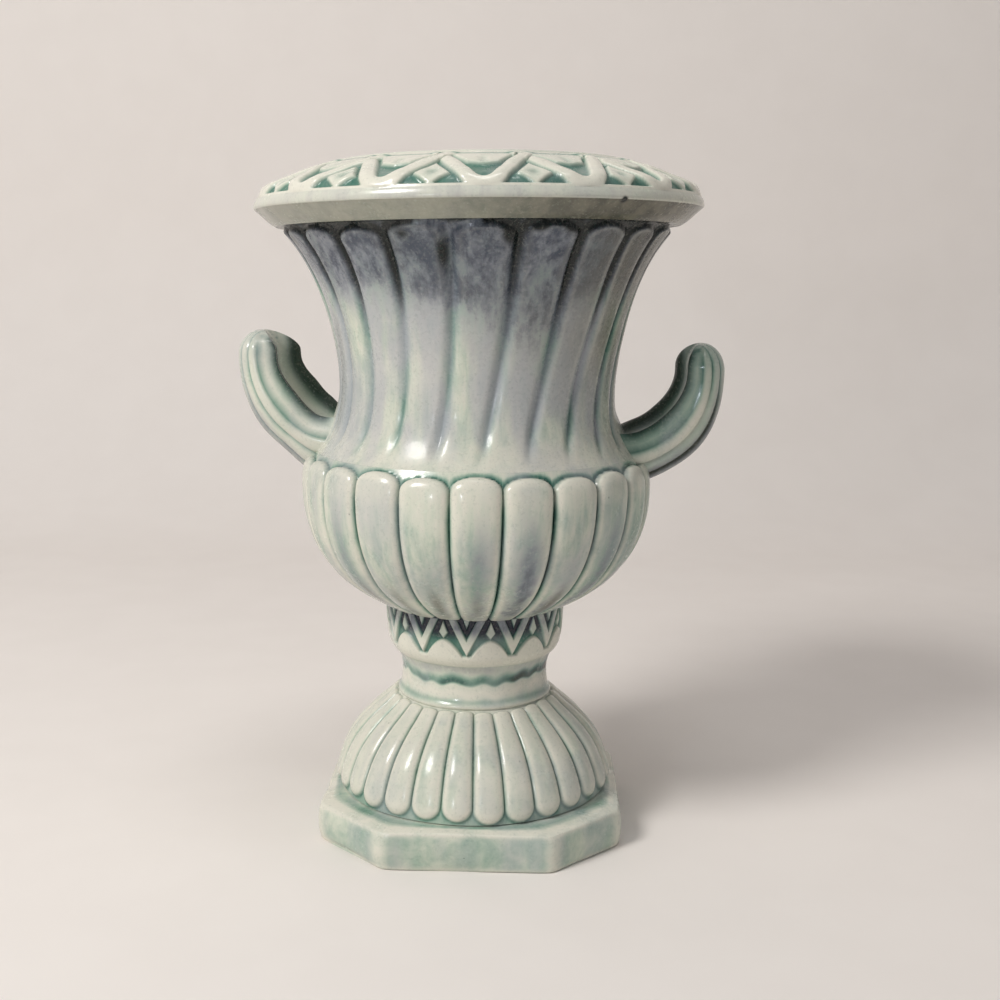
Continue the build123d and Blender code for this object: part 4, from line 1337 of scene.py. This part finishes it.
def makeHandle(place, material):
    centreZ = (level("fluted_neck") + handle["centreHeight"]) * mm
    endX = handle["centreRadius"] + handle["sweepRadius"]
    ring = [Vector(((endX + out) * mm, across * mm, centreZ)) for across, out in handleOutline()]
    piece = drawLine(camelName(place["node"]), ring + ring[:1])
    # The free end, drawn up and in to a rounded tip
    shares = [math.sin(math.pi / 2 * step / handle["tipSteps"]) for step in range(handle["tipSteps"] + 1)]
    width = 1.0
    for before, after in zip(shares, shares[1:]):
        rise = (after - before) * handle["tipLength"] * mm
        newWidth = max(math.sqrt(max(1 - after ** 2, 0)), handle["tipLeast"])
        bpy.ops.mesh.extrude_region_move(TRANSFORM_OT_translate={"value": (0, 0, rise)})
        middle = (endX * mm, 0, centreZ + after * handle["tipLength"] * mm)
        bpy.ops.transform.resize(value=(newWidth / width, newWidth / width, 1), center_override=middle)
        width = newWidth
    bpy.ops.mesh.edge_face_add()
    bpy.ops.mesh.poke()
    # The arm, spun round from the same ring down to its root
    bpy.ops.object.mode_set(mode="OBJECT")
    for vertex in piece.data.vertices:
        vertex.select = abs(vertex.co.z - centreZ) < weldLine
    for edge in piece.data.edges:
        edge.select = all(piece.data.vertices[i].select for i in edge.vertices)
    for face in piece.data.polygons:
        face.select = False
    bpy.ops.object.mode_set(mode="EDIT")
    bpy.ops.mesh.select_mode(type="EDGE")
    bpy.ops.mesh.spin(steps=handle["steps"], angle=handle["rootTurn"] * deg,
                      center=(handle["centreRadius"] * mm, 0, centreZ), axis=(0, -1, 0))
    bpy.ops.mesh.edge_face_add()
    closeMesh()
    dressHandle(piece, place)
    finishPiece(piece, place, material)


def dressHandle(piece, place):
    # Swells, bends and turns the arm into its place, then paints it. along runs from 0 where the
    # arm starts to curve to 1 at the root, and out is the distance from the section's middle
    points = readPoints(piece)
    x = points[:, 0] - handle["centreRadius"]
    z = points[:, 2] - (level("fluted_neck") + handle["centreHeight"])
    curved = z < 0
    swept = np.where(curved, np.arctan2(-z, x), 0.0)
    across = points[:, 1]
    out = np.where(curved, np.hypot(x, z), x) - handle["sweepRadius"]
    along = np.where(curved, swept / (handle["rootTurn"] * deg), -z / 30)
    centre, halfAngle = crownArc()
    angle = np.arctan2(across, out - centre)
    onCrown = soft(np.cos(angle), -0.1, 0.1)
    phase = (angle + halfAngle) / (2 * halfAngle) * handle["reeds"]
    valley = (1 - np.abs(np.sin(math.pi * phase))) ** 2 * onCrown

    # The arm thins towards its tip and swells at its root
    size = 1 - 0.06 * soft(along, 0.4, 0.0) + 0.1 * soft(along, 0.6, 1.0)
    thick = 1 - 0.04 * soft(along, 0.2, -0.1) + handle["swell"] * soft(along, 0.05, 0.5)
    bend = np.random.default_rng(place["seed"]).uniform(-1, 1, 3)
    points[:, 1] = across * size + 0.4 * np.sin(along * 5 + bend[0] * 3)
    push = (thick - 1) * out + 0.25 * np.sin(along * 7 + bend[1] * 3)
    push = push + place["rootDrop"] * soft(along, 0.6, 1.0) * soft(out, -1.0, 6.0)
    inward = place["innerSwell"] * soft(along, -0.28, -0.04) * soft(out, 1.0, -6.0)
    push = push - inward * soft(along, 1.3, 0.3)
    push = push + place["spread"] * bell(along, 0.2, 0.4)
    push = push + place["twist"] * across * soft(out, 2.0, -5.0) * soft(along, 1.0, 0.7)
    points[:, 0] += push * np.cos(swept)
    points[:, 2] += place["lift"] - push * np.sin(swept)
    # The arm was made in the plane of x, a quarter turn round from the front
    spin = place["turn"] - math.pi / 2
    turned = np.column_stack([
        points[:, 0] * math.cos(spin) - points[:, 1] * math.sin(spin),
        points[:, 0] * math.sin(spin) + points[:, 1] * math.cos(spin),
        points[:, 2],
    ])
    writePoints(piece, handWarp(turned))

    # Dark in the hollow back, glaze pooled there with painted shade over it, and between the reeds; painted
    # shade darkens the handle that is in shade, which also has a painted highlight along its middle reed
    shade = place["shade"]
    inner = soft(out, -3.4, -5.4) * soft(along, 1.0, 0.8)
    root = soft(along, 0.62, 0.95)
    under = soft(out, 2.0, 5.5) * soft(along, -0.1, 0.4)
    # A painted highlight along the middle reed of the handle in shade
    highlightStreak = shade * bell(out, 1.2, 1.7) * soft(along, 0.0, 0.3)
    pool = (0.5 + 0.2 * shade) * valley + 0.95 * inner + 0.05 + 0.25 * shade
    pool = pool + 0.35 * shade * soft(out, 0.0, -4.0)
    ridge = (1 - valley) * (1 - inner) * (0.75 - 0.5 * shade) * (1 - 0.7 * under)
    ridge = np.maximum(ridge, 0.95 * highlightStreak)
    cloud = (0.5 + 0.25 * shade) * under + 0.2 * shade * onCrown * soft(along, 0.3, -0.1)
    ink = 0.3 * root * valley + 0.72 * inner + 0.4 * shade * under * valley
    ink = ink + 0.6 * shade * bell(out, 5.2, 1.0) * soft(along, -0.1, 0.3)
    paint(piece, dict(pool=pool, ridge=ridge, cloud=cloud, ink=ink))


# Camera, at the photograph's own angle: distance and height in metres, angles in radians

cameraFit = {
    "distance": 0.4081,
    "height": 0.17025,
    "pitch": 0.1645,
    "yaw": 0.0183,
    "roll": 0.0138,
    "lens": 47.574,
    "sensor": 36.0,
    "clipStart": 0.01,
}


def makeCamera():
    pitch, yaw, roll = cameraFit["pitch"], cameraFit["yaw"], cameraFit["roll"]
    flatRight = Vector((math.cos(yaw), -math.sin(yaw), 0))
    ahead = Vector((math.sin(yaw) * math.cos(pitch), math.cos(yaw) * math.cos(pitch), -math.sin(pitch)))
    flatUp = Vector((math.sin(yaw) * math.sin(pitch), math.cos(yaw) * math.sin(pitch), math.cos(pitch)))
    right = math.cos(roll) * flatRight + math.sin(roll) * flatUp
    up = -math.sin(roll) * flatRight + math.cos(roll) * flatUp
    data = bpy.data.cameras.new("photoCamera")
    data.lens = cameraFit["lens"]
    data.sensor_width = cameraFit["sensor"]
    data.sensor_fit = "HORIZONTAL"
    data.clip_start = cameraFit["clipStart"]
    camera = bpy.data.objects.new("photoCamera", data)
    bpy.context.scene.collection.objects.link(camera)
    turn = Matrix((right, up, -ahead)).transposed().to_4x4()
    camera.matrix_world = Matrix.Translation((0, -cameraFit["distance"], cameraFit["height"])) @ turn
    bpy.context.scene.camera = camera


# Floor, backdrop and light, in metres, degrees and watts

studio = {
    "floorHalf": 2.4,
    "wallBehind": 0.62,
    "wallHeight": 2.2,
    "sweepRadius": 0.22,
    "sweepSteps": 24,
    "paper": tone(240, 234, 229),
    "paperShade": tone(228, 221, 215),
    "paperBlotch": 30.0,   # millimetres
    "paperBand": (0.3, 0.7, 0.0, 0.12),
    "paperRough": 0.9,
    "paperShine": 0.2,
    "aim": Vector((0, 0, 0.11)),
    # name, turn from the front, elevation, distance, width, height, watts, colour
    "lamps": [
        ("keyLamp", -50, 40, 1.25, 0.4, 0.4, 10.0, (1.0, 0.98, 0.95)),
        ("frontLamp", -24, 7, 1.1, 0.08, 0.08, 0.8, (0.86, 0.91, 1.0)),
        ("overheadLamp", 10, 78, 1.1, 0.5, 0.3, 2.4, (1.0, 0.98, 0.95)),
        ("rightLamp", 75, 20, 1.5, 0.6, 0.6, 0.5, (1.0, 0.96, 0.92)),
        ("backLamp", 170, 40, 1.5, 0.8, 0.5, 2.2, (0.95, 0.97, 1.0)),
    ],
    "world": (0.95, 0.96, 1.0, 1.0),
    "worldStrength": 0.2,
}


def selectEdges(floor, chosen):
    # Selects, for edit mode, the edges of which both ends are chosen
    for edge in floor.data.edges:
        edge.select = all(chosen(floor.data.vertices[i].co) for i in edge.vertices)


def makeFloor():
    clearSelection()
    back = studio["wallBehind"]
    middle = back - studio["floorHalf"]
    bpy.ops.mesh.primitive_plane_add(size=2 * studio["floorHalf"], location=(0, middle, 0))
    floor = bpy.context.object
    floor.name = "paperSweep"
    bpy.ops.object.transform_apply(location=True, rotation=True, scale=True)
    bpy.ops.object.mode_set(mode="EDIT")
    bpy.ops.mesh.select_all(action="DESELECT")
    bpy.ops.object.mode_set(mode="OBJECT")
    selectEdges(floor, lambda end: abs(end.y - back) < mm)
    bpy.ops.object.mode_set(mode="EDIT")
    bpy.ops.mesh.select_mode(type="EDGE")
    bpy.ops.mesh.extrude_region_move(TRANSFORM_OT_translate={"value": (0, 0, studio["wallHeight"])})
    bpy.ops.object.mode_set(mode="OBJECT")
    selectEdges(floor, lambda end: abs(end.y - back) < mm and abs(end.z) < mm)
    bpy.ops.object.mode_set(mode="EDIT")
    bpy.ops.mesh.bevel(offset=studio["sweepRadius"], segments=studio["sweepSteps"], affect="EDGES")
    bpy.ops.object.mode_set(mode="OBJECT")
    bpy.ops.object.shade_smooth()
    paper = Glaze("sweepPaper")
    blotches = paper.remap(paper.noise(studio["paperBlotch"], 2.0), *studio["paperBand"])
    colour = paper.mix(blotches, studio["paper"], studio["paperShade"])
    paper.links.new(colour, paper.shader.inputs["Base Color"])
    paper.shader.inputs["Roughness"].default_value = studio["paperRough"]
    paper.shader.inputs["Specular IOR Level"].default_value = studio["paperShine"]
    floor.data.materials.append(paper.material)


def makeLights():
    for name, turn, elevation, distance, width, height, watts, colour in studio["lamps"]:
        data = bpy.data.lights.new(name, "AREA")
        data.shape = "ELLIPSE"
        data.size, data.size_y = width, height
        data.energy = watts
        data.color = colour
        lamp = bpy.data.objects.new(name, data)
        flat = distance * math.cos(elevation * deg)
        rise = distance * math.sin(elevation * deg)
        place = Vector((flat * math.sin(turn * deg), -flat * math.cos(turn * deg), rise))
        lamp.location = studio["aim"] + place
        lamp.rotation_euler = place.to_track_quat("Z", "Y").to_euler()
        bpy.context.scene.collection.objects.link(lamp)


def makeWorld():
    world = bpy.data.worlds.new("studioAir")
    bpy.context.scene.world = world
    world.use_nodes = True
    background = world.node_tree.nodes["Background"]
    background.inputs["Color"].default_value = studio["world"]
    background.inputs["Strength"].default_value = studio["worldStrength"]
    # What the camera sees past the paper is as pale as the paper, and adds no light
    seen = world.node_tree.nodes.new("ShaderNodeBackground")
    seen.inputs["Color"].default_value = studio["paper"]
    rays = world.node_tree.nodes.new("ShaderNodeLightPath")
    either = world.node_tree.nodes.new("ShaderNodeMixShader")
    links = world.node_tree.links
    links.new(rays.outputs["Is Camera Ray"], either.inputs[0])
    links.new(background.outputs[0], either.inputs[1])
    links.new(seen.outputs[0], either.inputs[2])
    links.new(either.outputs[0], world.node_tree.nodes["World Output"].inputs["Surface"])


makeCamera()
makeFloor()
makeLights()
makeWorld()
print("camera, floor and lights placed")
makePlinth()
makeFoot()
makeStem()
makeCollar()
makeBowl()
makeNeck()
makeRim()
handleMaterial = seaGlaze("handleGlaze", {"base": 0.14, "darkTone": "olive"})
for handlePlace in handlePlaces:
    makeHandle(handlePlace, handleMaterial)

bpy.context.scene.view_settings.view_transform = "Standard"
